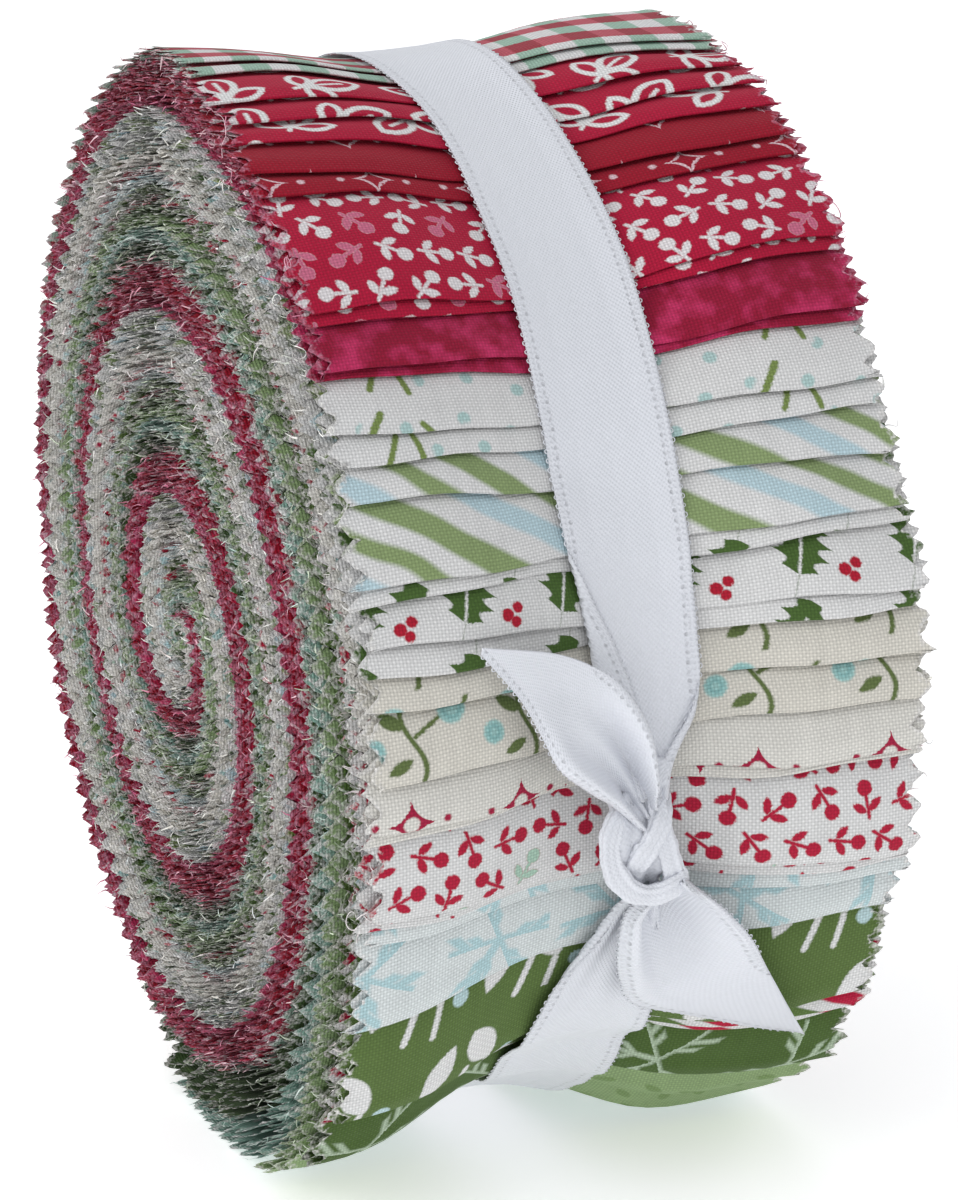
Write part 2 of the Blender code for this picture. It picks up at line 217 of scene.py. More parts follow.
def cinch(clock, across):
    """How far the ribbon draws the rim in at a place across the roll."""
    depth = CINCH_MEAN + CINCH_SWING * np.cos(np.radians(clock - CINCH_DEEPEST))
    line = ribbon_line(np.where(clock < 200, clock, clock - 360))
    return depth * np.exp(-(np.abs(across - line) / CINCH_REACH) ** CINCH_SHAPE)


def strips_left(clock):
    """How many strips lie on the rim, counted smoothly."""
    ends = [(0, STRIP_COUNT)]
    ends += [((left + right) / 2, STRIP_COUNT - i - 0.5)
             for i, (_, left, right) in enumerate(STRIP_ENDS)]
    return np.interp(clock, [e[0] for e in ends], [e[1] for e in ends])


def rim_radius(clock):
    """The rim's mean radius at a clock angle, before the ribbon draws it in."""
    loose = np.where(clock < LAST_END, strips_left(clock) * loosened(clock), 0)
    return wound_radius(2 + clock / 360) + loose


def inside_radius(turns):
    """Radius of the stack's inner side after so many turns from the hub."""
    return np.where(turns >= 1, wound_radius(turns - 1), HUB_RADIUS * np.clip(turns, 0, 1) ** 2)


def strip_thickness(turns):
    """Thickness of one folded strip after so many turns from the hub."""
    wound = (wound_radius(turns) - inside_radius(turns)) / STRIP_COUNT
    return np.where(turns > 3, loosened((turns - 3) * 360), wound)


def strip_radius(strip, turns):
    """Radius of a strip's outer face after so many turns from the hub."""
    return inside_radius(turns) + strip_thickness(turns) * (STRIP_COUNT - strip)


CINCH_DEPTH = 0.38        # share of the rim's radius that the ribbon's pull reaches into
CROWN, CROWN_FROM = 0.9, 3     # bulge of the layers' middles; the radius where it is full
HUB_STRAY, STRAY_TO = 1.3, 18  # how far the winding's heart strays; the radius where it ends
RIM_WAVE = 0.30           # the rim's slow unevenness
FLOOR_SOFT = 3.0          # height below which the strips press together on the floor
FLOOR_CUT = 1.55          # how far the round rim would reach below the floor


def rim_wave(clock, across):
    """The rim's slow unevenness at a place on the roll."""
    return RIM_WAVE * (np.sin(np.radians(clock * 7) + across * 0.11)
                       + 0.7 * np.sin(np.radians(clock * 13) - across * 0.19 + 1.3))


def off_floor(z):
    """Height of a place once the floor has pressed the round roll flat from below."""
    power = (FLOOR_SOFT + FLOOR_CUT) / FLOOR_SOFT
    squeezed = FLOOR_SOFT * (np.clip(z + FLOOR_CUT, 0, None) / (FLOOR_SOFT + FLOOR_CUT)) ** power
    return np.where(z < FLOOR_SOFT, squeezed, z)


def press(clock, radius, across):
    """A place in the winding, drawn in by the ribbon and flattened by the floor."""
    rim = rim_radius(clock % 360)
    near_rim = ease(1 - (rim - radius) / (CINCH_DEPTH * rim))
    pull = rim_wave(clock, across) - cinch(clock % 360, across)
    bulge = CROWN * np.cos(math.pi * across / STRIP_WIDTH) * np.clip(radius / CROWN_FROM, 0, 1)
    stray = HUB_STRAY * np.sin(2 * math.pi * across / STRIP_WIDTH) * np.clip(
        1 - radius / STRAY_TO, 0, 1)
    radius = radius + near_rim * pull + (1 - near_rim) * bulge
    angle = np.radians(clock)
    return HUB_Y - radius * np.sin(angle) + stray, off_floor(HUB_Z + radius * np.cos(angle))


TOOTH_PITCH, TOOTH_DEPTH = 3.7, 1.9
TOOTH_STEPS = 8           # points along each pinked tooth
TOOTH_STRAY = 0.4         # how far a torn tooth may stand past the strip's width
TORN_SHORT, TORN_LONG, CUT_LIFT, CUT_SWAY = -0.22, 0.34, 0.13, 0.12   # how the cut edge strays
SEAT = 29.3               # where the cloth's plain middle meets its pinked edge
FOLD_GAP = 0.58           # space between a strip's two layers, as a share of its thickness
FOLD_COLUMNS = 6          # steps round the fold
TUCK, TUCK_LONG = 0.42, 1.1       # how a strip dips where it comes out from under another
PUFF, PUFF_FROM_END, PUFF_LONG = 0.24, 1.6, 1.3     # its swelling before its folded end
BELLY, BELLY_FULL = 0.48, 14      # its rise between the two; bare length where that is full
PRESSED_BY_RIBBON, PRESSED_BY_FLOOR = 0.62, 0.85
FACE_RELIEF = [(0.00, -0.5), (0.14, 0.4), (0.29, -0.1), (0.47, 0.4), (0.66, -0.2), (0.83, 0.3),
               (1.00, -0.5)]
LOWEST_CLOCK, LOWEST_REACH = 172, 13
TIGHT_RADIUS = 8          # the turns inside this bend so tightly that they need more columns
SHOWN_EARLY = 4.0         # how far under the strip above a strip is made as finely as outside
HEART_FROM, HEART_SPREAD = 0.25, 0.20     # radius where a strip begins, and its spread
FACE_SPREAD = 0.45        # how far a strip may be stacked out of line
FACE_DISH = 1.2           # how far the faces sink in at the hub


def pressing(clock, across):
    """How flat the ribbon and the floor press the strips' ends, from nought to one."""
    by_ribbon = cinch(clock % 360, across) / (CINCH_MEAN + CINCH_SWING)
    by_floor = np.exp(-((clock - LOWEST_CLOCK) / LOWEST_REACH) ** 4)
    return np.maximum(PRESSED_BY_RIBBON * by_ribbon, PRESSED_BY_FLOOR * by_floor)


def lay_strip(strip, turns, across, under):
    """Clock angle and radius of a strip's outer layer, or of its inner one."""
    here = (turns - 3) * 360
    radius = strip_radius(strip, turns)
    thick = strip_thickness(turns)
    arc = np.radians(1) * radius
    since = (here - end_clock(strip - 1, across)) * arc
    left = (end_clock(strip, across) - here) * arc
    share = np.clip(since / np.maximum(since + left, 0.1), 0, 1)
    flat = pressing(here, across)
    bare = (since + left) * np.where(since > 0, 1, 0)
    shape = -TUCK * np.exp(-np.abs(since) / TUCK_LONG)
    shape = shape + PUFF * np.exp(-((left - PUFF_FROM_END) / PUFF_LONG) ** 2)
    radius = radius + (1 - flat) * shape * thick - 0.9 * flat * thick * ease(share)
    radius = radius + (1 - flat) * BELLY * np.sin(math.pi * share) * np.clip(
        bare / BELLY_FULL, 0, 1)
    gap = thick * FOLD_GAP * (1 - 0.8 * flat * ease((since + 4) / 4))
    return here, radius - under * gap, gap


def strip_columns(strip, length, radius_at, bare_from, next_from, fold):
    """Places along the doubled strip: (place, whether its points across lie close).

    They lie close where the cloth is bare, and where it lies right under cloth that is."""
    fine = TOOTH_PITCH / TOOTH_STEPS
    whole = 2 * length + fold
    steps = int(whole / fine) + 1
    places = {}
    for step in range(steps):
        s = step * fine
        if s <= length:
            bare, next_to_bare = s > bare_from, s > next_from
            tight = radius_at(s) < TIGHT_RADIUS
        else:
            bare, next_to_bare = s < length + fold + 2.5, whole - s > bare_from
            tight = radius_at(whole - s) < TIGHT_RADIUS
        every = (2 if strip == 0 else 1) if bare else 2 if tight else TOOTH_STEPS // 2
        if step % every == 0:
            places[round(s, 4)] = bare or next_to_bare
    for k in range(FOLD_COLUMNS + 1):
        places[round(length + fold * k / FOLD_COLUMNS, 4)] = True
    places[round(whole, 4)] = False
    coarse = sorted(places)
    fine_places = sorted(set(coarse) | {round(i * fine, 4) for i in range(steps)})
    return coarse, [places[s] for s in coarse], fine_places


def zip_rows(first, first_at, second, second_at):
    """Triangles between two rows of points that run side by side, whatever their spacing."""
    i = j = 0
    faces = []
    while i < len(first) - 1 or j < len(second) - 1:
        if j == len(second) - 1 or (i < len(first) - 1 and first_at[i + 1] <= second_at[j + 1]):
            faces.append((first[i], first[i + 1], second[j]))
            i += 1
        else:
            faces.append((first[i], second[j + 1], second[j]))
            j += 1
    return faces


ROWS = {False: np.linspace(-SEAT, SEAT, 6), True: np.linspace(-SEAT, SEAT, 26)}
frayed_edges = []         # every strip's cut edges, for the loose threads


def cloth_mesh(name, points, faces, along, across, finish):
    """A sheet's mesh, from points that know their places along and across the flat cloth."""
    mesh = bpy.data.meshes.new(name)
    mesh.from_pydata((points * MM).tolist(), [], [tuple(int(v) for v in f) for f in faces])
    corners = np.empty(len(mesh.loops), dtype=np.int64)
    mesh.loops.foreach_get("vertex_index", corners)
    places = np.stack([along, across], 1)[corners] * MM
    mesh.uv_layers.new(name="cloth").data.foreach_set("uv", places.astype(np.float32).ravel())
    mesh.materials.append(finish)
    mesh.shade_smooth()
    return mesh


def store(mesh, name, kind, values):
    """Gives every point of a mesh a number, a direction or a colour."""
    field = {"FLOAT": "value", "FLOAT_VECTOR": "vector", "FLOAT_COLOR": "color"}[kind]
    mesh.attributes.new(name, kind, "POINT").data.foreach_set(
        field, np.array(values, dtype=np.float32).ravel())


def wind_strip(strip, finish):
    """One folded strip as a sheet: out along the winding, round its fold and back under."""
    chance = np.random.default_rng(700 + strip)
    middle_end = 3 + float(end_clock(strip, 0.0)) / 360
    turns = np.linspace(0, middle_end, 6000)
    radii = strip_radius(strip, turns)
    first = int(np.argmax(radii >= HEART_FROM + HEART_SPREAD * chance.random()))
    turns, radii = turns[first:], radii[first:]
    steps = np.hypot(np.diff(radii), 2 * math.pi * radii[1:] * np.diff(turns))
    along = np.concatenate([[0], np.cumsum(steps)])
    length = float(along[-1])
    thick = float(strip_thickness(np.array(middle_end)))
    fold = math.pi * thick * FOLD_GAP / 2

    def shown_from(cover):
        """Place along the strip from where it shows, or nearly, past the end of another."""
        at = 3 + float(end_clock(cover, 0.0)) / 360
        return float(np.interp(at, turns, along)) - SHOWN_EARLY

    coarse, close, fine = strip_columns(
        strip, length, lambda s: float(np.interp(s, along, radii)), shown_from(strip - 1),
        shown_from(max(strip - 2, -1)), fold)
    depth = strip / STRIP_COUNT
    relief = float(np.interp(depth, [r[0] for r in FACE_RELIEF], [r[1] for r in FACE_RELIEF]))
    aside = chance.uniform(-FACE_SPREAD, FACE_SPREAD)
    wander = chance.uniform(0, 6.28, 4)

    def locate(s, across, lift, sway):
        """World points for places along and across the doubled strip."""
        s, across = np.asarray(s), np.asarray(across)
        back = s > length + fold
        turning = (s > length) & ~back
        flat_s = np.where(back, 2 * length + fold - s, np.minimum(s, length))
        at = np.interp(flat_s, along, turns)
        stretch = end_clock(strip, across) / float(end_clock(strip, 0.0))
        at = np.where(at > 3, 3 + (at - 3) * stretch, at)
        clock, radius, gap = lay_strip(strip, at, across, np.where(back, 1.0, 0.0))
        angle = np.where(turning, math.pi * (s - length) / fold, 0)
        radius = radius - gap / 2 * (1 - np.cos(angle)) * turning + lift
        clock = clock + np.degrees((0.62 * gap * np.sin(angle) * turning + sway)
                                   / np.maximum(radius, 1))
        y, z = press(clock, radius, across)
        side = across / HALF_WIDTH
        x = across + side * relief * ease((np.abs(side) - 0.5) * 2)
        x = x + aside + 0.35 * np.sin(flat_s / 55 + wander[0]) + 0.2 * np.sin(
            flat_s / 17 + wander[1])
        dish = FACE_DISH * (1 - np.minimum(radius / 60, 1)) ** 2
        return np.stack([x - side * dish, y, z], 1)

    column_ids, s_all, x_all, faces = [], [], [], []
    for s, near in zip(coarse, close):
        rows = ROWS[near]
        column_ids.append(np.arange(len(rows)) + len(s_all))
        s_all += [s] * len(rows)
        x_all += list(rows)
    for k, (a, b) in enumerate(zip(column_ids, column_ids[1:])):
        if len(a) == len(b):
            faces += [(a[i], b[i], b[i + 1], a[i + 1]) for i in range(len(a) - 1)]
        else:
            faces += zip_rows(b, ROWS[close[k + 1]], a, ROWS[close[k]])
    points, along_all, across_all = [locate(s_all, x_all, 0.0, 0.0)], [s_all], [x_all]
    fine_s, count = np.array(fine), len(fine)
    tooth = 2 * np.abs((fine_s / TOOTH_PITCH) % 1 - 0.5)
    for side in (-1, 1):
        reach = HALF_WIDTH - TOOTH_DEPTH * (1 - tooth)
        reach = reach + chance.uniform(TORN_SHORT, TORN_LONG, count)
        lift = chance.uniform(-CUT_LIFT, CUT_LIFT, count)
        sway = chance.uniform(-CUT_SWAY, CUT_SWAY, count)
        edge = locate(fine_s, side * np.minimum(reach, HALF_WIDTH + TOOTH_STRAY), lift, sway)
        ids = np.arange(count) + sum(len(part) for part in points)
        if side < 0:
            faces += zip_rows(ids, fine, [c[0] for c in column_ids], coarse)
        else:
            faces += zip_rows([c[-1] for c in column_ids], coarse, ids, fine)
        points.append(edge)
        along_all.append(fine_s)
        across_all.append(side * reach)
        frayed_edges.append((strip, side, edge))
    name = f"strip_{strip + 1:02d}_{STRIP_ENDS[strip][0]}"
    mesh = cloth_mesh(name, np.concatenate(points), faces, np.concatenate(along_all),
                      np.concatenate(across_all), finish)
    store(mesh, "inward", "FLOAT", [HALF_WIDTH - SEAT] * len(s_all) + [0.0] * (2 * count))
    piece = set_out(name, mesh)
    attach(piece, "root")
    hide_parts("strip_roll")


def add_node(tree, kind, inputs=None, **settings):
    """A new node with its settings; each input is given a value, a measure or an output."""
    node = tree.nodes.new(kind)
    for setting, value in settings.items():
        setattr(node, setting, value)
    for label, value in (inputs or {}).items():
        if isinstance(value, Measure):
            value = value.socket
        if isinstance(value, bpy.types.NodeSocket):
            tree.links.new(value, node.inputs[label])
        else:
            node.inputs[label].default_value = value
    return node


class Measure:
    """A number that changes over a piece; sums of measures become nodes of its tree."""

    def __init__(self, tree, socket):
        self.tree, self.socket = tree, socket

    def reckon(self, operation, *others, clamp=False):
        node = add_node(self.tree, "ShaderNodeMath", dict(enumerate((self, *others))),
                        operation=operation, use_clamp=clamp)
        return Measure(self.tree, node.outputs[0])

    __add__ = __radd__ = partialmethod(reckon, "ADD")
    __sub__ = partialmethod(reckon, "SUBTRACT")
    __mul__ = __rmul__ = partialmethod(reckon, "MULTIPLY")
    __truediv__ = partialmethod(reckon, "DIVIDE")
    __pow__ = partialmethod(reckon, "POWER")
    __mod__ = partialmethod(reckon, "FLOORED_MODULO")
    __abs__ = partialmethod(reckon, "ABSOLUTE")
    floor = partialmethod(reckon, "FLOOR")
    sin = partialmethod(reckon, "SINE")
    cos = partialmethod(reckon, "COSINE")
    least = partialmethod(reckon, "MINIMUM")
    most = partialmethod(reckon, "MAXIMUM")
    above = partialmethod(reckon, "GREATER_THAN")

    def __rsub__(self, other):
        return self.reckon("MULTIPLY_ADD", -1.0, other)

    def clamped(self):
        return self.reckon("ADD", 0.0, clamp=True)

    def inside(self, soft=0.12):
        """One where a shape's distance is below nought, with a soft edge."""
        return self.reckon("MULTIPLY_ADD", -0.5 / soft, 0.5, clamp=True)


WEAVE_PITCH = 0.37        # from one thread of the cotton to the next
INK_STRAY = 0.42          # how far the prints' outlines stray from thread to thread
UNDYED_THREAD = (0.80, 0.78, 0.76)


class Cotton:
    """Printed cotton: a ground, the inks laid over it, its plain weave and frayed edge."""

    def __init__(self, name, ground, thread=UNDYED_THREAD):
        self.name, self.thread = name, thread
        self.material, self.tree, self.shader = new_finish(name + "_cotton", {
            "Roughness": 0.88, "Specular IOR Level": 0.25, "Sheen Weight": 0.04,
            "Sheen Roughness": 0.4})
        place = add_node(self.tree, "ShaderNodeUVMap", uv_map="cloth")
        split = add_node(self.tree, "ShaderNodeSeparateXYZ", {0: place.outputs[0]})
        self.right = Measure(self.tree, split.outputs["Y"]) * 1000
        self.up = Measure(self.tree, split.outputs["X"]) * -1000
        self.fine = self.noise(3.2, 2)
        ragged = (self.fine - 0.5) * INK_STRAY
        self.x, self.y = self.right + ragged, self.up - ragged
        self.colour = (*ground, 1)
        self.ink(self.noise(0.25, 3), tuple(0.86 * c for c in ground))

    def noise(self, per_mm, detail, turned=1.0):
        """Soft random cloud, nought to one, over the cloth."""
        stretch = add_node(self.tree, "ShaderNodeCombineXYZ", {0: self.right, 1: self.up * turned})
        cloud = add_node(self.tree, "ShaderNodeTexNoise", {
            "Scale": per_mm, "Detail": detail, "Vector": stretch.outputs[0]})
        return Measure(self.tree, cloud.outputs[0])

    def ink(self, mask, colour, blend="MIX"):
        """Lays a colour over what is there, as far as the mask says."""
        if isinstance(colour, tuple):
            colour = (*colour, 1)
        mix = add_node(self.tree, "ShaderNodeMix", {0: mask, 6: self.colour, 7: colour},
                       data_type="RGBA", blend_type=blend)
        self.colour = mix.outputs[2]

    def scatter(self, width, height, seed, turns=True, stray=0.0):
        """Repeats a motif: its own x and y, turned its own way, and a random number."""
        across, row = self.x / width, (self.y / height).floor()
        across = across + (row % 2) * 0.5
        column = across.floor()
        cell = add_node(self.tree, "ShaderNodeCombineXYZ", {0: column, 1: row, 2: seed})
        dice = add_node(self.tree, "ShaderNodeTexWhiteNoise", {"Vector": cell.outputs[0]})
        chances = add_node(self.tree, "ShaderNodeSeparateColor", {0: dice.outputs["Color"]})
        one, two, three = (Measure(self.tree, s) for s in chances.outputs[:3])
        x = (across - column - 0.5) * width + (two - 0.5) * stray
        y = (self.y / height - row - 0.5) * height + (three - 0.5) * stray
        if turns:
            angle = one * (2 * math.pi)
            c, s = angle.cos(), angle.sin()
            x, y = x * c + y * s, y * c - x * s
        return x, y, two

    def finish(self):
        """The weave's threads with painted light on their crowns and painted shade in their
        pinholes, the white fibres of the cut edge and the nap.
        """
        warp = (self.right * (math.pi / WEAVE_PITCH)).sin()
        weft = (self.up * (math.pi / WEAVE_PITCH)).sin()
        crown = abs(warp) * 0.40 + abs(weft) * 0.40 + warp * weft * 0.20
        slub = self.noise(0.9, 2, 0.06) * 0.5 + self.noise(0.9, 2, 14.0) * 0.5
        # painted light and shade: the colour is lightened on the threads' crowns and darkened in
        # the pinholes between them; the slub adds the threads' own uneven tone
        weave_shade_and_slub = crown * 0.50 + 0.66 + (slub - 0.5) * 0.26
        inward = add_node(self.tree, "ShaderNodeAttribute", attribute_name="inward")
        inward = Measure(self.tree, inward.outputs["Fac"])
        fibres = (self.noise(1.7, 3) - 0.5) * 3.0 + 0.62 - inward * 0.62
        self.ink(fibres.clamped(), self.thread)
        self.ink(1.0, weave_shade_and_slub, "MULTIPLY")
        self.tree.links.new(self.colour, self.shader.inputs["Base Color"])
        fluff = (1.0 - inward * 0.7).clamped() * self.noise(2.6, 2)
        bump = add_node(self.tree, "ShaderNodeBump", {
            "Distance": 0.10 * MM, "Height": crown * 0.9 + fluff * 3.0 + self.fine * 0.3})
        self.tree.links.new(bump.outputs[0], self.shader.inputs["Normal"])
        return self.material


def wind_print(cloth):
    """Finishes a printed cotton and winds the strips that are cut from it."""
    finish = cloth.finish()
    for strip, (kind, _, _) in enumerate(STRIP_ENDS):
        if kind == cloth.name:
            wind_strip(strip, finish)


WHITE = (0.76, 0.755, 0.75)
RED = (0.46, 0.006, 0.042)
CHECK = 6.6

cloth = Cotton("gingham", WHITE)
upright = (abs(cloth.x % CHECK - CHECK / 2) - CHECK / 4).inside(0.08)
level = (abs(cloth.y % CHECK - CHECK / 2) - CHECK / 4).inside(0.08)
cloth.ink(upright * 0.92, (0.30, 0.47, 0.37))
cloth.ink(level * 0.88, RED)
cloth.ink(upright * level * 0.5, (0.22, 0.01, 0.025))
wind_print(cloth)

# --- Three strips of red cotton with open leaves, drawn as white outlines with a vein. Printed, --
# pinked, folded in half and wound under the gingham; their folded ends step down the rim's top.
RED_THREAD = (0.62, 0.26, 0.36)   # the fibres of a red print's edge take some of its dye


def turned_to(x, y, at, degrees):
    """Place along a slanting shape's own length, and how far aside of it."""
    c, s = math.cos(math.radians(degrees)), math.sin(math.radians(degrees))
    dx, dy = x - at[0], y - at[1]
    return dx * c + dy * s, abs(dy * c - dx * s)


def leaf(x, y, at, degrees, length, width):
    """Distance to the edge of a leaf with two pointed ends, standing at an angle."""
    lengthwise, sideways = turned_to(x, y, at, degrees)
    a, b = length / 2, width / 2
    bend = (a * a + b * b) / (2 * b)
    reach = sideways + (bend - b)
    return (lengthwise * lengthwise + reach * reach) ** 0.5 - bend


def stalk(x, y, start, stop, width):
    """Distance to the edge of a straight stalk with round ends."""
    run, rise = stop[0] - start[0], stop[1] - start[1]
    size = run * run + rise * rise
    dx, dy = x - start[0], y - start[1]
    share = (dx * (run / size) + dy * (rise / size)).clamped()
    away_x, away_y = dx - share * run, dy - share * rise
    return (away_x * away_x + away_y * away_y) ** 0.5 - width / 2


cloth = Cotton("red_leaf", RED, RED_THREAD)
x, y, _ = cloth.scatter(11.5, 9.5, 3.0, stray=1.2)
outline = abs(leaf(x, y, (0.0, 1.2), 90, 6.2, 3.6)) - 0.42
outline = outline.least(abs(leaf(x, y, (2.3, -1.9), 20, 4.4, 2.2)) - 0.38)
outline = outline.least(abs(leaf(x, y, (-2.2, -2.0), 155, 4.2, 2.2)) - 0.38)
cloth.ink(outline.least(stalk(x, y, (0.0, 2.2), (0.0, -4.0), 0.55)).inside(), WHITE)
wind_print(cloth)

# --- Two strips of deep red cotton with small hollow stars and pin dots. Printed, pinked and -----
# folded as the others; the red leaf print lies over them in the stack.


def round_spot(x, y, at, radius):
    """Distance to a round spot's edge."""
    across, along = x - at[0], y - at[1]
    return (across * across + along * along) ** 0.5 - radius


def thorn_star(x, y, radius, bend=0.62):
    """Distance to a four-pointed star with hollow sides."""
    return (abs(x) ** bend + abs(y) ** bend) ** (1 / bend) - radius


cloth = Cotton("red_star", (0.34, 0.004, 0.022), RED_THREAD)
x, y, _ = cloth.scatter(12.0, 9.0, 5.0, turns=False)
star = abs(thorn_star(x, y, 2.2)) - 0.38
dots = round_spot(abs(x), y, (3.8, 0.0), 0.42)
cloth.ink(star.least(dots).inside(), (0.70, 0.50, 0.54))
wind_print(cloth)

# --- Two strips of red cotton with white sprigs tossed every way, and a few pink ones. Printed, --
# pinked and folded; the widest red step on the rim, since the strips above end well short.


def sprig(x, y):
    """A berry on a stalk between two leaves; the prints shrink it to some four millimetres."""
    shape = round_spot(x, y, (0.0, 1.70), 1.12)
    shape = shape.least(stalk(x, y, (0.0, 1.0), (0.15, -2.5), 0.54))
    shape = shape.least(leaf(x, y, (1.15, -0.75), 38, 2.7, 1.25))
    return shape.least(leaf(x, y, (-1.1, -0.95), 142, 2.5, 1.2))


cloth = Cotton("red_sprig", RED, RED_THREAD)
x, y, chance = cloth.scatter(4.9, 4.4, 7.0, stray=0.4)
shape = sprig(x * 1.28, y * 1.28).inside()
cloth.ink(shape, (0.74, 0.70, 0.71))
cloth.ink(shape * chance.above(0.84) * 0.85, (0.55, 0.05, 0.16))
wind_print(cloth)

# --- Two strips of deep pink cotton, clouded tone on tone with raspberry. Dyed and printed, ------
# pinked and folded as the others.
cloth = Cotton("pink", (0.31, 0.006, 0.036), RED_THREAD)
cloth.ink(((cloth.noise(0.28, 3) - 0.46) * 5).clamped() * 0.85, (0.58, 0.035, 0.135))
wind_print(cloth)

# --- Two strips of white cotton with green leaves, long needles and mint dots between them. ------
# Printed, pinked and folded; the first of the pale strips.
LEAF_GREEN = (0.19, 0.26, 0.075)
MINT_INK = (0.33, 0.55, 0.53)

cloth = Cotton("white_leaf", WHITE)
x, y, _ = cloth.scatter(23.0, 16.0, 11.0, turns=False, stray=3.0)
plant = leaf(x, y, (-2.7, 0.3), 118, 6.6, 3.6).least(leaf(x, y, (2.7, 0.0), 55, 6.8, 3.4))
for start, stop, width in (((-4.6, -0.6), (-9.5, 4.4), 0.7), ((4.5, 0.4), (8.0, 6.4), 0.8),
                           ((-1.0, -3.0), (-2.6, -6.4), 0.7), ((0.8, -3.0), (1.6, -6.9), 0.7)):
    plant = plant.least(stalk(x, y, start, stop, width))
cloth.ink(plant.inside(), LEAF_GREEN)
x, y, _ = cloth.scatter(5.6, 5.2, 12.0, stray=2.2)
clear = 1.0 - (plant - 0.9).inside(0.3)
cloth.ink(round_spot(x, y, (0.0, 0.0), 0.75).inside(0.14) * clear * 0.75, MINT_INK)
wind_print(cloth)

# --- Two strips of white cotton with soft slanting stripes of green and light blue. Printed, -----
# pinked and folded as the others.
cloth = Cotton("stripe", WHITE)
slant = (cloth.x * 0.56 + cloth.y * 0.83 + (cloth.noise(0.10, 1) - 0.5) * 2.0) % 15.0
for middle, half, colour in ((2.2, 1.45, (0.21, 0.30, 0.10)), (8.0, 1.25, (0.46, 0.62, 0.68)),
                             (12.4, 1.0, (0.21, 0.30, 0.10))):
    cloth.ink((abs(slant - middle) - half).inside(0.30) * 0.92, colour)
wind_print(cloth)

# --- Three strips of white cotton with spiny holly leaves and small clusters of red berries. -----
# Printed, pinked and folded; their three ends step down the rim's front a few degrees apart.


def holly_leaf(x, y, at, degrees, length, width):
    """A spiny leaf and its vein, as two distances."""
    lengthwise, sideways = turned_to(x, y, at, degrees)
    swell = (1.0 - lengthwise * lengthwise * (4 / length ** 2)).most(0.0) ** 0.5
    spines = abs((lengthwise * (4.6 * math.pi / length) + 1.2).cos()) ** 0.8
    blade = sideways - swell * (width / 2) * (1.0 - spines * 0.46)
    vein = (sideways - 0.13).most(lengthwise - length * 0.22).most(lengthwise * -1 - length * 0.5)
    return blade, vein


cloth = Cotton("holly", WHITE)
x, y, _ = cloth.scatter(12.6, 11.5, 17.0, turns=False, stray=2.0)
blade, vein = holly_leaf(x + y * 0.25, y, (-0.8, 0.6), 62, 7.8, 6.2)
cloth.ink(blade.inside(), (0.065, 0.125, 0.028))
cloth.ink(vein.inside(0.10), WHITE)
berries = round_spot(x, y, (3.0, -2.6), 0.72)
berries = berries.least(round_spot(x, y, (4.3, -1.9), 0.62))
berries = berries.least(round_spot(x, y, (3.9, -3.4), 0.62))
cloth.ink(berries.inside(0.10), (0.42, 0.010, 0.030))
wind_print(cloth)

# --- Two strips of cream cotton with thin green branches and ringed berries in mint. Printed, ----
# pinked and folded as the others.
cloth = Cotton("berry", (0.72, 0.69, 0.62))
x, y, _ = cloth.scatter(13.4, 10.2, 23.0, turns=False, stray=1.4)
branch = (abs(x + (y * 0.55).sin() * 1.1) - 0.30).most(abs(y) - 4.6)
branch = branch.least(stalk(x, y, (0.2, 0.6), (3.4, 2.2), 0.5))
branch = branch.least(leaf(x, y, (-2.2, 2.4), 150, 3.4, 1.5))
branch = branch.least(leaf(x, y, (-1.6, -2.2), 205, 3.0, 1.3))
cloth.ink(branch.inside(), (0.12, 0.165, 0.055))
fruit = round_spot(x, y, (4.5, 2.6), 1.55).least(round_spot(x, y, (-4.3, -0.3), 1.25))
cloth.ink(fruit.inside(0.16), MINT_INK)
cloth.ink((abs(fruit + 0.62) - 0.20).inside() * 0.6, (0.20, 0.42, 0.42))
wind_print(cloth)

# --- Two strips of cream cotton with raspberry stars, open in the middle, between pin dots. ------
# Printed, pinked and folded; they end where the ribbon's knot sits.
cloth = Cotton("cream_star", (0.75, 0.73, 0.68))
x, y, _ = cloth.scatter(13.5, 11.0, 29.0, turns=False, stray=1.5)
star = thorn_star(x, y, 2.7).most(0.85 - round_spot(x, y, (0.0, 0.0), 0.0))
dots = round_spot(abs(x), y, (3.9, 0.1), 0.42)
cloth.ink(star.least(dots).inside(), (0.36, 0.012, 0.050))
wind_print(cloth)

# --- Two strips of white cotton with red sprigs tossed every way, and a few mint ones. The same --
# motif as on the red strips, printed the other way about; pinked and folded as the others.
cloth = Cotton("white_sprig", WHITE)
x, y, chance = cloth.scatter(5.0, 4.5, 31.0, stray=0.4)
shape = sprig(x * 1.25, y * 1.25).inside()
cloth.ink(shape, (0.44, 0.012, 0.042))
cloth.ink(shape * chance.above(0.84), (0.40, 0.58, 0.47))
wind_print(cloth)

# --- Two strips of cotton with pale blue frost stars on a white just tinted blue. Printed, -------
# pinked and folded; the lower of the two reaches well past the other at the roll's left.


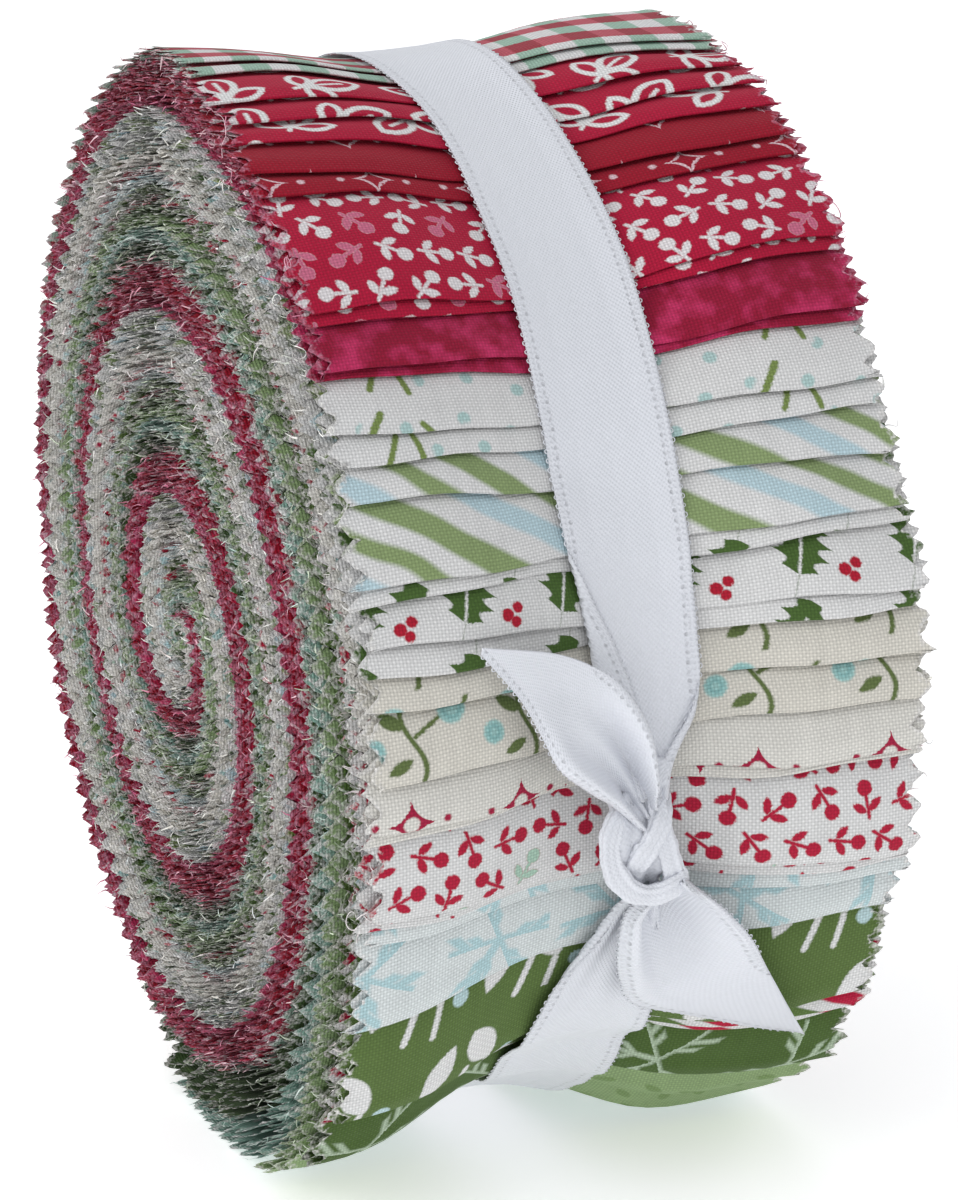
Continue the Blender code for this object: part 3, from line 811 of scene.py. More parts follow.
def frost(cloth, colour, seed, size, strength, thick):
    """Large six-armed frost stars in soft lines."""
    x, y, _ = cloth.scatter(size * 2.1, size * 1.9, seed, stray=3.0)
    folded_x, folded_y = x, abs(y)
    c, s = math.cos(math.radians(60)), math.sin(math.radians(60))
    for _ in range(2):
        over = folded_y * c - folded_x * s
        flip = over.above(0.0)
        other_x, other_y = folded_x * c + folded_y * s, abs(over)
        folded_x = folded_x + (other_x - folded_x) * flip
        folded_y = folded_y + (other_y - folded_y) * flip
    folded_y = abs(folded_y)
    lines = (folded_y - thick).most(folded_x - size * 0.92)
    for start, reach in ((0.30, 0.22), (0.55, 0.30)):
        barb = abs(folded_y * 1.1 - (folded_x - size * start)) * 0.68 - thick * 0.86
        lines = lines.least(barb.most(folded_y - size * reach).most(size * start - folded_x))
    cloth.ink(lines.inside(0.22) * strength, colour)


cloth = Cotton("snow", (0.74, 0.785, 0.785))
frost(cloth, (0.42, 0.62, 0.655), 37.0, 7.2, 0.9, 0.68)
wind_print(cloth)

# --- Two strips of green cotton with white leaves and needles and light blue dots. Printed, ------
# pinked and folded; the first of the green strips, which lie deepest in the stack.
cloth = Cotton("green_leaf", (0.115, 0.185, 0.050))
x, y, _ = cloth.scatter(16.0, 12.0, 41.0, turns=False, stray=2.0)
shape = leaf(x, y, (-3.4, 1.4), 62, 7.4, 3.2).least(leaf(x, y, (2.2, 2.0), 115, 6.4, 3.6))
shape = shape.least(stalk(x, y, (-1.2, -4.4), (0.4, -0.2), 0.85))
shape = shape.least(stalk(x, y, (2.4, -5.0), (3.2, -1.2), 0.75))
cloth.ink(shape.inside(0.14), WHITE)
cloth.ink(round_spot(x, y, (5.8, -1.8), 1.0).inside(0.14), (0.50, 0.66, 0.68))
wind_print(cloth)

# --- Two strips of white cotton with thin bands of red and green that run on the slant. ----------
# Printed, pinked and folded as the others.
cloth = Cotton("plaid", WHITE)
slant = (cloth.x * 0.45 + cloth.y * 0.9) % 7.0
cloth.ink((abs(slant - 1.6) - 1.0).inside(0.15), RED)
cloth.ink((abs(slant - 5.0) - 0.9).inside(0.15), (0.10, 0.17, 0.04))
wind_print(cloth)

# --- Two strips of dark green cotton with white frost stars, the snow print's larger relation. ---
# Printed, pinked and folded as the others.
cloth = Cotton("green_snow", (0.075, 0.135, 0.030))
frost(cloth, (0.46, 0.56, 0.42), 43.0, 8.0, 0.9, 0.42)
wind_print(cloth)

# --- Two strips of plain light green cotton with darker specks. Printed, pinked and folded; ------
# they end low on the roll's front, where it curves under.
cloth = Cotton("light_green", (0.30, 0.42, 0.20))
x, y, _ = cloth.scatter(5.0, 5.0, 47.0, stray=2.0)
cloth.ink(leaf(x, y, (0.0, 0.0), 90, 3.0, 1.4).inside() * 0.7, (0.16, 0.26, 0.08))
wind_print(cloth)

# --- Three strips of mint cotton with white pin dots. Printed, pinked and folded; the roll stands -
# on their ends.
cloth = Cotton("mint", (0.30, 0.48, 0.41))
x, y, _ = cloth.scatter(4.2, 4.0, 53.0, turns=False)
cloth.ink(round_spot(x, y, (0.0, 0.0), 0.6).inside(), WHITE)
wind_print(cloth)

# --- Three strips of deep green cotton with lighter needles, tone on tone: the innermost of the --
# stack. Printed, pinked and folded; their ends lie behind the spot that the roll stands on.
cloth = Cotton("dark_green", (0.050, 0.095, 0.026))
x, y, _ = cloth.scatter(6.0, 6.0, 59.0, stray=1.5)
cloth.ink(stalk(x, y, (-1.8, 0.0), (1.8, 0.2), 0.5).inside() * 0.5, (0.12, 0.19, 0.06))
wind_print(cloth)

# --- Frayed threads: the ends of warp and weft that pinking leaves loose along every cut edge. ---
# Cotton, a seventh of a millimetre thick at its root, paler than the print, whose ink stays on top.
THREAD_LONG, THREAD_THICK, THREAD_BEND = 0.66, 0.15, 0.40
THREADS_LEFT, THREADS_RIGHT = 9600, 4200
LOW_DOWN = 2.0            # threads below this height bend up from the floor
THREAD_LEAN, THREAD_FOLLOW = 0.50, 0.7      # how threads stray, and lean along the edge
MOST_FADED = 0.65
THREAD_TINTS = {          # how the cut threads of each print look
    "gingham": (0.72, 0.50, 0.53), "red_leaf": (0.62, 0.22, 0.32), "red_star": (0.50, 0.10, 0.19),
    "red_sprig": (0.64, 0.22, 0.33), "pink": (0.58, 0.12, 0.25), "white_leaf": (0.76, 0.76, 0.72),
    "stripe": (0.70, 0.73, 0.66), "holly": (0.74, 0.73, 0.70), "berry": (0.74, 0.72, 0.66),
    "cream_star": (0.76, 0.72, 0.68), "white_sprig": (0.78, 0.70, 0.71), "snow": (0.72, 0.77, 0.77),
    "green_leaf": (0.44, 0.52, 0.38), "plaid": (0.70, 0.62, 0.60), "green_snow": (0.36, 0.45, 0.30),
    "light_green": (0.52, 0.60, 0.44), "mint": (0.50, 0.64, 0.58), "dark_green": (0.30, 0.38, 0.25),
}
LINT_TINT = (0.80, 0.79, 0.77)


thread_cotton, tree, shader = new_finish("cotton_thread", {
    "Roughness": 0.9, "Specular IOR Level": 0.2, "Sheen Weight": 0.2})
tint = add_node(tree, "ShaderNodeAttribute", attribute_name="tint")
place = add_node(tree, "ShaderNodeTexCoord")
cloud = add_node(tree, "ShaderNodeTexNoise", {"Scale": 1800, "Vector": place.outputs["Object"]})
mottle = add_node(tree, "ShaderNodeMix", {
    0: 1.0, 6: tint.outputs["Color"], 7: Measure(tree, cloud.outputs[0]) * 0.5 + 0.75},
    data_type="RGBA", blend_type="MULTIPLY")
tree.links.new(mottle.outputs[2], shader.inputs["Base Color"])


def worn_tint(kind, pale):
    """The colour of a print's cut threads, faded towards that of lint."""
    return np.array(THREAD_TINTS[kind]) * (1 - pale) + np.array(LINT_TINT) * pale


def unit_rows(vectors, spare=0.0):
    """The vectors at length one; the spare keeps one of no length from failing."""
    return vectors / (np.linalg.norm(vectors, axis=1)[:, None] + spare)


def seeded_points(name, places, headings, tints, sizes):
    """A mesh of loose points that carry their heading, tint and size."""
    mesh = bpy.data.meshes.new(name)
    mesh.from_pydata((places * MM).tolist(), [], [])
    store(mesh, "heading", "FLOAT_VECTOR", headings)
    store(mesh, "tint", "FLOAT_COLOR", np.concatenate([tints, np.ones((len(tints), 1))], 1))
    store(mesh, "size", "FLOAT", sizes)
    return set_out(name, mesh)


def named(tree, kind, name):
    """What a node that reads a named attribute gives out."""
    return add_node(tree, "GeometryNodeInputNamedAttribute", {"Name": name},
                    data_type=kind).outputs["Attribute"]


def new_tree(name, sizes, made):
    """A node tree that points and named sizes enter, and the measures of those sizes."""
    tree = bpy.data.node_groups.new(name, "GeometryNodeTree")
    tree.interface.new_socket("Points", in_out="INPUT", socket_type="NodeSocketGeometry")
    for label in sizes:
        tree.interface.new_socket(label, in_out="INPUT", socket_type="NodeSocketFloat")
    tree.interface.new_socket(made, in_out="OUTPUT", socket_type="NodeSocketGeometry")
    given = add_node(tree, "NodeGroupInput").outputs
    return tree, given["Points"], *(Measure(tree, given[label]) for label in sizes)


def finish_tree(tree, points, shape, turned, material):
    """Puts the shape on every point at its own size, makes it real and gives it its material."""
    put = add_node(tree, "GeometryNodeInstanceOnPoints", {
        "Points": points, "Instance": shape, "Rotation": turned,
        "Scale": named(tree, "FLOAT", "size")})
    real = add_node(tree, "GeometryNodeRealizeInstances", {0: put.outputs[0]})
    coat = add_node(tree, "GeometryNodeSetMaterial", {
        "Geometry": real.outputs[0], "Material": material})
    add_node(tree, "NodeGroupOutput", {0: coat.outputs[0]})
    return tree


def grow(piece, tree, sizes, material):
    """Runs a node tree on a piece's points and leaves a plain mesh."""
    live = piece.modifiers.new("grown", "NODES")
    live.node_group = tree
    for item in tree.interface.items_tree:
        if item.in_out == "INPUT" and item.name in sizes:
            live[item.identifier] = sizes[item.name]
    bpy.context.view_layer.update()
    graph = bpy.context.evaluated_depsgraph_get()
    plain = bpy.data.meshes.new_from_object(
        piece.evaluated_get(graph), preserve_all_data_layers=True, depsgraph=graph)
    piece.modifiers.remove(live)
    piece.data = plain
    plain.name = piece.name
    plain.materials.clear()
    plain.materials.append(material)


def thread_tree():
    """A thread end: a thin bent cone on every point, turned to its heading."""
    tree, points, length, thickness, bend = new_tree(
        "thread_ends", ("Thread length", "Thread thickness", "Thread bend"), "Threads")
    half = thickness * 0.5
    cone = add_node(tree, "GeometryNodeMeshCone", {
        "Vertices": 3, "Side Segments": 2, "Depth": length, "Radius Bottom": half,
        "Radius Top": half * 0.30}, fill_type="NONE")
    spot = add_node(tree, "GeometryNodeInputPosition")
    parts = add_node(tree, "ShaderNodeSeparateXYZ", {0: spot.outputs[0]})
    share = Measure(tree, parts.outputs[2]) / length
    shift = add_node(tree, "ShaderNodeCombineXYZ", {0: share * share * bend})
    bent = add_node(tree, "GeometryNodeSetPosition", {
        "Geometry": cone.outputs["Mesh"], "Offset": shift.outputs[0]})
    towards = add_node(tree, "FunctionNodeAlignRotationToVector", {
        "Vector": named(tree, "FLOAT_VECTOR", "heading")}, axis="Z")
    dice = add_node(tree, "FunctionNodeRandomValue", {
        "Min": 0.0, "Max": 2 * math.pi, "Seed": 11}, data_type="FLOAT")
    twist = add_node(tree, "FunctionNodeAxisAngleToRotation", {
        "Axis": (0, 0, 1), "Angle": dice.outputs["Value"]})
    turned = add_node(tree, "FunctionNodeRotateRotation", {
        0: towards.outputs[0], 1: twist.outputs[0]}, rotation_space="LOCAL")
    return finish_tree(tree, points, bent.outputs[0], turned.outputs[0], thread_cotton)


thread_ends = thread_tree()


def fray(side, name, wanted, seed):
    """Loose thread ends along all the strips' cut edges on one side of the roll."""
    chance = np.random.default_rng(seed)
    edges = [(strip, edge) for strip, at, edge in frayed_edges if at == side]
    weights = np.array([len(edge) for _, edge in edges], float)
    counts = np.round(wanted * weights / weights.sum()).astype(int)
    places, headings, tints, sizes = [], [], [], []
    for (strip, edge), count in zip(edges, counts):
        at = np.sort(chance.choice(len(edge) - 1, count, replace=False))
        between = chance.uniform(0, 1, (count, 1))
        places.append(edge[at] * (1 - between) + edge[at + 1] * between)
        ahead = unit_rows(edge[at + 1] - edge[at], 1e-9)
        lean = chance.normal(0, THREAD_LEAN, (count, 3))
        follow = chance.normal(0, THREAD_FOLLOW, (count, 1))
        heading = np.array([side, 0, 0]) + lean + ahead * follow
        low = places[-1][:, 2] < LOW_DOWN
        heading[low, 2] = np.abs(heading[low, 2]) + 0.2
        headings.append(heading)
        pale = chance.uniform(0, MOST_FADED, (count, 1)) ** 1.3
        tints.append(worn_tint(STRIP_ENDS[strip][0], pale))
        sizes.append(np.clip(chance.lognormal(-0.10, 0.36, count), 0.45, 2.1))
    piece = seeded_points(name, np.concatenate(places), np.concatenate(headings),
                          np.concatenate(tints), np.concatenate(sizes))
    grow(piece, thread_ends, {"Thread length": THREAD_LONG * MM,
                              "Thread thickness": THREAD_THICK * MM,
                              "Thread bend": THREAD_BEND * MM}, thread_cotton)
    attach(piece, "root")


fray(-1, "frayed_threads_left", THREADS_LEFT, 41)
fray(1, "frayed_threads_right", THREADS_RIGHT, 43)

# --- Lint: long threads that worked loose from the cut edges and cling there in loose curls. ---
# The same cotton thread, two to nine millimetres long; each starts at a cut edge near the rim.
LINT = [                  # print, side of the roll, how many curls, longest
    ("red_leaf", 1, 5, 7.0), ("red_star", 1, 5, 8.0), ("red_sprig", 1, 6, 9.0), ("pink", 1, 3, 6.0),
    ("red_sprig", -1, 5, 7.0), ("red_star", -1, 3, 6.0), ("white_leaf", -1, 4, 6.0),
    ("stripe", -1, 3, 5.0), ("holly", 1, 4, 6.0), ("berry", 1, 3, 6.0), ("snow", 1, 3, 5.0),
    ("white_sprig", -1, 3, 6.0), ("green_leaf", -1, 3, 5.0), ("dark_green", -1, 3, 5.0),
]
LINT_STEPS, LINT_SIDES = 14, 4
LINT_THICK = 0.075        # half the thread's thickness at its fixed end


def lint_curls():
    """One mesh of curled threads, each a thin tube along its own wandering path."""
    chance = np.random.default_rng(97)
    rings = np.arange(LINT_SIDES) * 2 * math.pi / LINT_SIDES
    points, faces, tints, total = [], [], [], 0
    for kind, side, many, longest in LINT:
        strips = [k for k, row in enumerate(STRIP_ENDS) if row[0] == kind]
        for _ in range(many):
            strip = strips[int(chance.integers(len(strips)))]
            edge = [e for s, at, e in frayed_edges if s == strip and at == side][0]
            shown = np.linspace(0.93, 0.995, 50) * len(edge) / 2
            start = edge[int(chance.choice(shown))]
            out = np.array([0, start[1] - HUB_Y, start[2] - HUB_Z])
            out /= np.linalg.norm(out)
            way = np.array([side * 1.0, 0, 0]) + out * 0.5 + chance.normal(0, 0.5, 3)
            way /= np.linalg.norm(way)
            step = longest * chance.uniform(0.45, 1.0) / LINT_STEPS
            turn = chance.normal(0, 0.42, 3)
            path = [start]
            for _ in range(LINT_STEPS):
                way = way + np.cross(turn, way) + chance.normal(0, 0.12, 3)
                way /= np.linalg.norm(way)
                path.append(path[-1] + way * step)
            path = np.array(path)
            path = start + (path - start) * np.array([0.55, 1, 1])
            ahead = unit_rows(np.gradient(path, axis=0))
            first = unit_rows(np.cross(ahead, out), 1e-9)
            second = np.cross(ahead, first)
            thin = LINT_THICK * np.linspace(1, 0.5, len(path))
            ring = (first[:, None] * np.cos(rings)[None, :, None]
                    + second[:, None] * np.sin(rings)[None, :, None]) * thin[:, None, None]
            points.append((path[:, None] + ring).reshape(-1, 3))
            for k in range(len(path) - 1):
                for side_at in range(LINT_SIDES):
                    a = total + k * LINT_SIDES + side_at
                    b = total + k * LINT_SIDES + (side_at + 1) % LINT_SIDES
                    faces.append((a, a + LINT_SIDES, b + LINT_SIDES, b))
            total += len(path) * LINT_SIDES
            tint = worn_tint(kind, chance.uniform(0, 0.6))
            tints.append(np.tile(tint, (len(path) * LINT_SIDES, 1)))
    mesh = bpy.data.meshes.new("lint_curls")
    mesh.from_pydata((np.concatenate(points) * MM).tolist(), [], faces)
    store(mesh, "tint", "FLOAT_COLOR",
          np.concatenate([np.concatenate(tints), np.ones((total, 1))], 1))
    mesh.materials.append(thread_cotton)
    mesh.shade_smooth()
    piece = set_out("lint_curls", mesh)
    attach(piece, "root")


lint_curls()

# --- The satin ribbon's band: once round the roll, its ends gathered into the knot. White satin --
# fourteen millimetres wide, with a picot edge; near the knot its two edges fold over on themselves.
RIBBON_WIDTH = 14.0
RIBBON_THICK = 0.22
RIBBON_CLEAR = 0.30       # from the cloth to the middle of the satin that lies on it
BAND = [  # clock, left edge, right edge, flap on the left, flap on the right, lift
    (-256, -1.2, 2.2, 1.5, 1.5, 3.2),
    (-253, -1.6, 3.0, 1.2, 1.0, 2.2),
    (-249, -2.9, 4.0, 0.8, 0.5, 1.4),
    (-245, -4.6, 4.8, 0.4, 0.0, 0.9),
    (-240, -6.8, 5.2, 0.0, 0.0, 0.5),
    (-235, -8.2, 5.4, 0.0, 0.0, 0.2),
    (-228, -8.6, 5.4, 0.0, 0.0, 0.0),
    (-210, -8.4, 5.6, 0.0, 0.0, 0.0),
    (-190, -9.6, 4.4, 0.0, 0.0, 0.0),
    (-160, -11.4, 2.6, 0.0, 0.0, 0.0),
    (-91, -10.2, 3.8, 0.0, 0.0, 0.0),
    (-24, -8.8, 5.2, 0.0, 0.0, 0.0),
    (8, -8.2, 5.8, 0.0, 0.0, 0.0),
    (22, -7.0, 7.0, 0.0, 0.0, 0.0),
    (36, -6.6, 7.4, 0.0, 0.0, 0.0),
    (60, -7.1, 6.9, 0.0, 0.0, 0.0),
    (70, -7.1, 6.9, 0.0, 0.0, 0.0),
    (75, -6.4, 6.9, 1.1, 0.0, 0.1),
    (80, -5.6, 6.9, 2.7, 0.0, 0.2),
    (84, -4.9, 6.9, 3.8, 0.0, 0.4),
    (88, -4.1, 5.9, 3.8, 0.9, 0.8),
    (91, -3.3, 3.9, 3.0, 1.5, 1.5),
    (93, -2.4, 2.8, 2.0, 1.6, 2.4),
    (95, -1.6, 2.2, 1.4, 1.4, 3.4),
]
NEAR_STEP, FAR_STEP = 1.0, 2.5    # degrees between its stations, by the knot and elsewhere
THREADS_ACROSS = 49       # points across the ribbon


def rim_top(clock, across):
    """Radius of the outermost cloth at clock angles and places across the roll."""
    turn = clock % 360
    top = wound_radius(2 + turn / 360) + 0 * across
    for strip in range(STRIP_COUNT):
        there = (turn < end_clock(strip, across)) & (turn >= end_clock(strip - 1, across))
        top = np.where(there, lay_strip(strip, 3 + turn / 360, across, 0.0)[1], top)
    return top + rim_wave(clock, across) - cinch(turn, across)


def on_roll(clock, radius, across):
    """World point at a clock angle and radius about the hub, kept just off the floor."""
    angle = np.radians(clock)
    return np.stack([across, HUB_Y - radius * np.sin(angle),
                     off_floor(HUB_Z + radius * np.cos(angle))], -1)


def line_length(points):
    """Length of a line of points."""
    return float(np.linalg.norm(np.diff(points, axis=0), axis=1).sum())


def run_along(points):
    """Distance along a line of points, from the first to each of them."""
    steps = np.linalg.norm(np.diff(points, axis=0), axis=1)
    return np.concatenate([[0], np.cumsum(steps)])


satin, tree, shader = new_finish("white_satin", {
    "Roughness": 0.42, "Specular IOR Level": 0.45, "Sheen Weight": 0.10, "Sheen Roughness": 0.3})
place = add_node(tree, "ShaderNodeUVMap", uv_map="cloth")
split = add_node(tree, "ShaderNodeSeparateXYZ", {0: place.outputs[0]})
along, across = (Measure(tree, split.outputs[axis]) * 1000 for axis in "XY")
floats = (along * (math.pi / 0.30) + across * 2.2).sin() * (across * (math.pi / 0.23)).sin()
hem = (RIBBON_WIDTH / 2 - 1.25 - abs(across)).inside(0.10)
ribs = (along * (2 * math.pi / 0.62)).sin() * hem
holes = ((abs(across) - (RIBBON_WIDTH / 2 - 1.05)) * 4.4) ** 2
holes = (1.0 - holes - (((along % 1.0) - 0.5) * 3.8) ** 2).clamped()
# painted shade and light: the satin's colour is darkened in the holes along its edges, and
# lightened and darkened a little along the floats and the hem's ribs
satin_colour_and_painted_shade = add_node(tree, "ShaderNodeMix", {
    0: 1.0, 6: (0.72, 0.735, 0.785, 1), 7: 1.0 - holes * 0.20 + floats * 0.035 + ribs * 0.03},
    data_type="RGBA", blend_type="MULTIPLY")
tree.links.new(satin_colour_and_painted_shade.outputs[2], shader.inputs["Base Color"])
bump = add_node(tree, "ShaderNodeBump", {
    "Distance": 0.05 * MM, "Height": floats * 0.7 + ribs * 0.9 - holes * 2.0})
tree.links.new(bump.outputs[0], shader.inputs["Normal"])
selvedges = []            # the ribbon's woven edges, for its picots


def satin_sheet(name, grid, run, across, length):
    """A stretch of the ribbon from a grid of points and their places along and across it."""
    rows, columns = grid.shape[:2]
    ids = np.arange(rows * columns).reshape(rows, columns)
    faces = np.stack([ids[:-1, :-1], ids[1:, :-1], ids[1:, 1:], ids[:-1, 1:]], -1).reshape(-1, 4)
    ribbon = set_out(name, cloth_mesh(name, grid.reshape(-1, 3), faces, np.repeat(run, columns),
                                      across.ravel(), satin))
    thick = ribbon.modifiers.new("cloth", "SOLIDIFY")
    thick.thickness, thick.offset = RIBBON_THICK * MM, 0
    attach(ribbon, "root")
    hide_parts("ribbon_tie")


def fold_section(cloth, left, right, left_flap, right_flap):
    """Place across and rise of each thread of a ribbon whose two edges fold over on top."""
    half = RIBBON_WIDTH / 2
    inner_left, inner_right = -half + left_flap, half - right_flap
    share = (cloth - inner_left) / (inner_right - inner_left)
    over_left = np.clip(inner_left - cloth, 0, None)
    over_right = np.clip(cloth - inner_right, 0, None)
    place = left + (right - left) * np.clip(share, 0, 1) + over_left - over_right
    spare = max((inner_right - inner_left) / (right - left) - 1, 0)
    pleat = 0.34 * math.sqrt(spare) * (1 - np.cos(np.clip(share, 0, 1) * 6 * math.pi))
    rise = 0.55 * ease((over_left + over_right) / 0.5) + pleat
    return place, rise


def lay_band():
    """The band's sheet, station by station round the rim."""
    clocks = np.concatenate([np.arange(BAND[0][0], -205, NEAR_STEP), np.arange(-205, 55, FAR_STEP),
                             np.arange(55, BAND[-1][0] + 0.5, NEAR_STEP)])
    left, right, left_flap, right_flap, lift = (
        smooth_table(BAND, column)(clocks) for column in range(1, 6))
    threads = np.linspace(-RIBBON_WIDTH / 2, RIBBON_WIDTH / 2, THREADS_ACROSS)
    spots = np.linspace(left, right, 5, axis=1)
    under = np.max([rim_top(clocks[:, None] + step * 0.7, spots) for step in range(-4, 5)], axis=0)
    blur = np.exp(-(np.arange(-3, 4) / 1.6) ** 2)
    padded = np.pad(under, ((3, 3), (0, 0)), mode="edge")
    under = sum(blur[k] * padded[k:k + len(under)] for k in range(7)) / blur.sum()
    grid = []
    for k, clock in enumerate(clocks):
        place, rise = fold_section(threads, left[k], right[k],
                                   max(left_flap[k], 0), max(right_flap[k], 0))
        level = np.interp(place, spots[k], under[k])
        grid.append(on_roll(clock, level + RIBBON_CLEAR + lift[k] + rise, place))
    grid = np.array(grid)
    middle = grid[:, THREADS_ACROSS // 2]
    selvedges.extend([(grid[:, 0], grid[:, 1]), (grid[:, -1], grid[:, -2])])
    satin_sheet("ribbon_band", grid, run_along(middle), np.tile(threads, (len(grid), 1)),
                line_length(middle))


lay_band()

# --- The ribbon's two tails: its slant-cut ends, which stand off the roll beside the knot. One ---
# points up and to the left, hollowed like a spoon; the other hangs to the right with a curled side.
UPPER_TAIL = [  # clock, place, lift of its upper edge, then of its lower; ridge, hollow
    (95.4, 0.4, 4.6, 97.6, -1.2, 4.6, 0.0, 0.6),
    (91.8, -0.1, 5.6, 95.0, -4.3, 5.0, 0.7, 2.4),
    (87.8, -1.1, 6.2, 92.9, -7.5, 4.8, 0.6, 2.6),
    (84.4, -3.1, 6.0, 90.3, -11.0, 4.2, 0.4, 1.5),
    (81.9, -6.0, 5.4, 86.9, -13.1, 3.5, 0.2, 0.6),
    (79.8, -11.4, 4.8, 83.5, -15.3, 3.2, 0.0, 0.0),
    (78.4, -19.8, 4.0, 79.0, -19.9, 3.9, 0.0, 0.0),
]
LOWER_TAIL = [
    (102.6, 3.6, 5.2, 104.2, 0.6, 5.2, 0.0, 0.3),
    (104.6, 6.2, 5.2, 107.4, -1.4, 4.8, 1.9, 2.4),
    (107.0, 9.2, 4.9, 111.6, -1.6, 4.7, 2.3, 3.0),
    (110.2, 12.4, 4.4, 116.2, -0.3, 4.1, 1.5, 1.5),
    (114.6, 15.4, 3.6, 120.2, 2.6, 3.4, 0.3, 0.0),
    (120.4, 19.4, 3.0, 121.6, 11.4, 2.8, 0.0, 0.0),
    (124.6, 22.4, 2.5, 124.0, 21.4, 2.5, 0.0, 0.0),
]
TAIL_STATIONS = 46
GATHERS = 2.5             # lengthwise folds across a tail where it leaves the knot
GATHER_DEEPEST = 1.5      # how deep they may stand


def gather(section, wave, wanted):
    """Depth of the folds that gives a section of the ribbon its full width of cloth."""
    shallow, deep = 0.0, GATHER_DEEPEST
    for _ in range(14):
        depth = (shallow + deep) / 2
        if line_length(section(depth * wave)) < wanted:
            shallow = depth
        else:
            deep = depth
    return shallow


def lay_tail(name, rows, slant_from, mirrored):
    """A tail's sheet between its two long edges, ridged along one and hollowed in the middle."""
    table = [(index, *row) for index, row in enumerate(rows)]
    columns = [smooth_table(table, k) for k in range(1, 9)]
    shares = np.linspace(0, 1, THREADS_ACROSS)
    wave = np.sin(2 * math.pi * GATHERS * shares)
    last = int(TAIL_STATIONS * slant_from)
    grid = []
    for k, t in enumerate(np.linspace(0, len(rows) - 1, TAIL_STATIONS)):
        *edges, ridge, hollow = (float(c(t)) for c in columns)
        clock, place, lift = (a + (b - a) * shares for a, b in zip(edges[:3], edges[3:]))
        lift = lift + ridge * np.exp(-((shares - 0.86) / 0.10) ** 2)
        lift = lift + 0.4 * ridge * np.exp(-((shares - 0.04) / 0.06) ** 2)
        lift = lift - hollow * np.exp(-((shares - 0.45) / 0.24) ** 2)
        base = rim_radius(clock) - cinch(clock, place)

        def section(folds):
            return on_roll(clock, base + lift + folds, place)

        depth = gather(section, wave, RIBBON_WIDTH) if k < last else 0.0
        depth *= float(ease((last - k) / (0.45 * last)))
        grid.append(section(depth * wave))
    grid = np.array(grid)
    long_side, short_side = line_length(grid[:, -1]), line_length(grid[:last, 0])
    middle = grid[:, THREADS_ACROSS // 2]
    widths = np.linalg.norm(grid[:, 0] - grid[:, -1], axis=1)
    cut = np.arange(TAIL_STATIONS) >= last
    shown = np.where(cut, RIBBON_WIDTH * widths / widths[last], RIBBON_WIDTH)
    across = RIBBON_WIDTH / 2 - shown[:, None] * (1 - shares)[None, :]
    selvedges.extend([(grid[:last, 0], grid[:last, 1]), (grid[:, -1], grid[:, -2])])
    if mirrored:
        grid, across = grid[:, ::-1], across[:, ::-1]
    satin_sheet(name, grid, run_along(middle), across, long_side)


lay_tail("ribbon_tail_upper", UPPER_TAIL, 0.66, True)
lay_tail("ribbon_tail_lower", LOWER_TAIL, 0.62, False)

# --- The knot: the ribbon gathered lengthwise into soft strands. One loops round like a U, one ---
# comes down from the band and one lies across inside, drawn tight over a crumpled core.
KNOT_STRANDS = {  # clock, place, lift, width, thickness
    "ribbon_knot_loop": [
        (95.0, -2.4, 3.8, 2.3, 1.2), (96.2, -3.6, 4.6, 2.3, 1.4), (97.6, -4.4, 5.0, 2.4, 1.5),
        (99.4, -4.6, 5.3, 2.4, 1.5), (101.4, -4.0, 5.7, 2.5, 1.6), (103.2, -2.3, 6.0, 2.6, 1.7),
        (103.9, 0.1, 6.1, 2.5, 1.7), (103.4, 2.2, 5.9, 2.5, 1.6), (102.8, 4.0, 5.2, 2.7, 1.4),
    ],
    "ribbon_knot_strand": [
        (91.5, 1.6, 2.2, 3.4, 1.3), (93.4, 0.9, 3.4, 2.5, 1.5), (95.4, 0.8, 4.3, 2.3, 1.6),
        (97.6, 1.2, 4.9, 2.4, 1.6), (99.8, 1.9, 5.1, 2.5, 1.6), (101.9, 2.7, 5.2, 2.6, 1.5),
        (103.6, 3.4, 4.8, 2.8, 1.4),
    ],
    "ribbon_knot_inner": [
        (95.0, 2.0, 2.8, 2.0, 1.2), (96.0, 1.6, 4.4, 2.3, 1.4), (97.2, 1.0, 5.2, 2.5, 1.6),
        (98.6, 0.1, 5.6, 2.6, 1.7), (100.1, -0.9, 5.6, 2.7, 1.7), (101.6, -1.7, 5.0, 2.6, 1.5),
        (102.7, -2.1, 3.4, 2.2, 1.3), (103.2, -2.2, 2.2, 2.0, 1.2),
    ],
    "ribbon_knot_core": [
        (94.0, -0.8, 2.4, 3.8, 2.8), (96.5, -1.2, 3.6, 5.8, 4.4), (99.5, -0.9, 4.0, 6.4, 5.2),
        (102.0, -0.2, 3.8, 6.0, 4.8), (104.6, 0.6, 2.6, 4.0, 2.8),
    ],
}
STRAND_STATIONS, STRAND_THREADS = 40, 97
PLEATS_ROUND = 7          # fine pleats in each turn of a strand's roll
ROLL_TIGHTENS = 0.60      # how much smaller the roll's inmost turn is than its outer one
KNOT_TURNS = {            # turns that take up the ribbon's whole width
    "ribbon_knot_loop": 2.3, "ribbon_knot_strand": 2.3, "ribbon_knot_inner": 2.3,
    "ribbon_knot_core": 1.1,
}


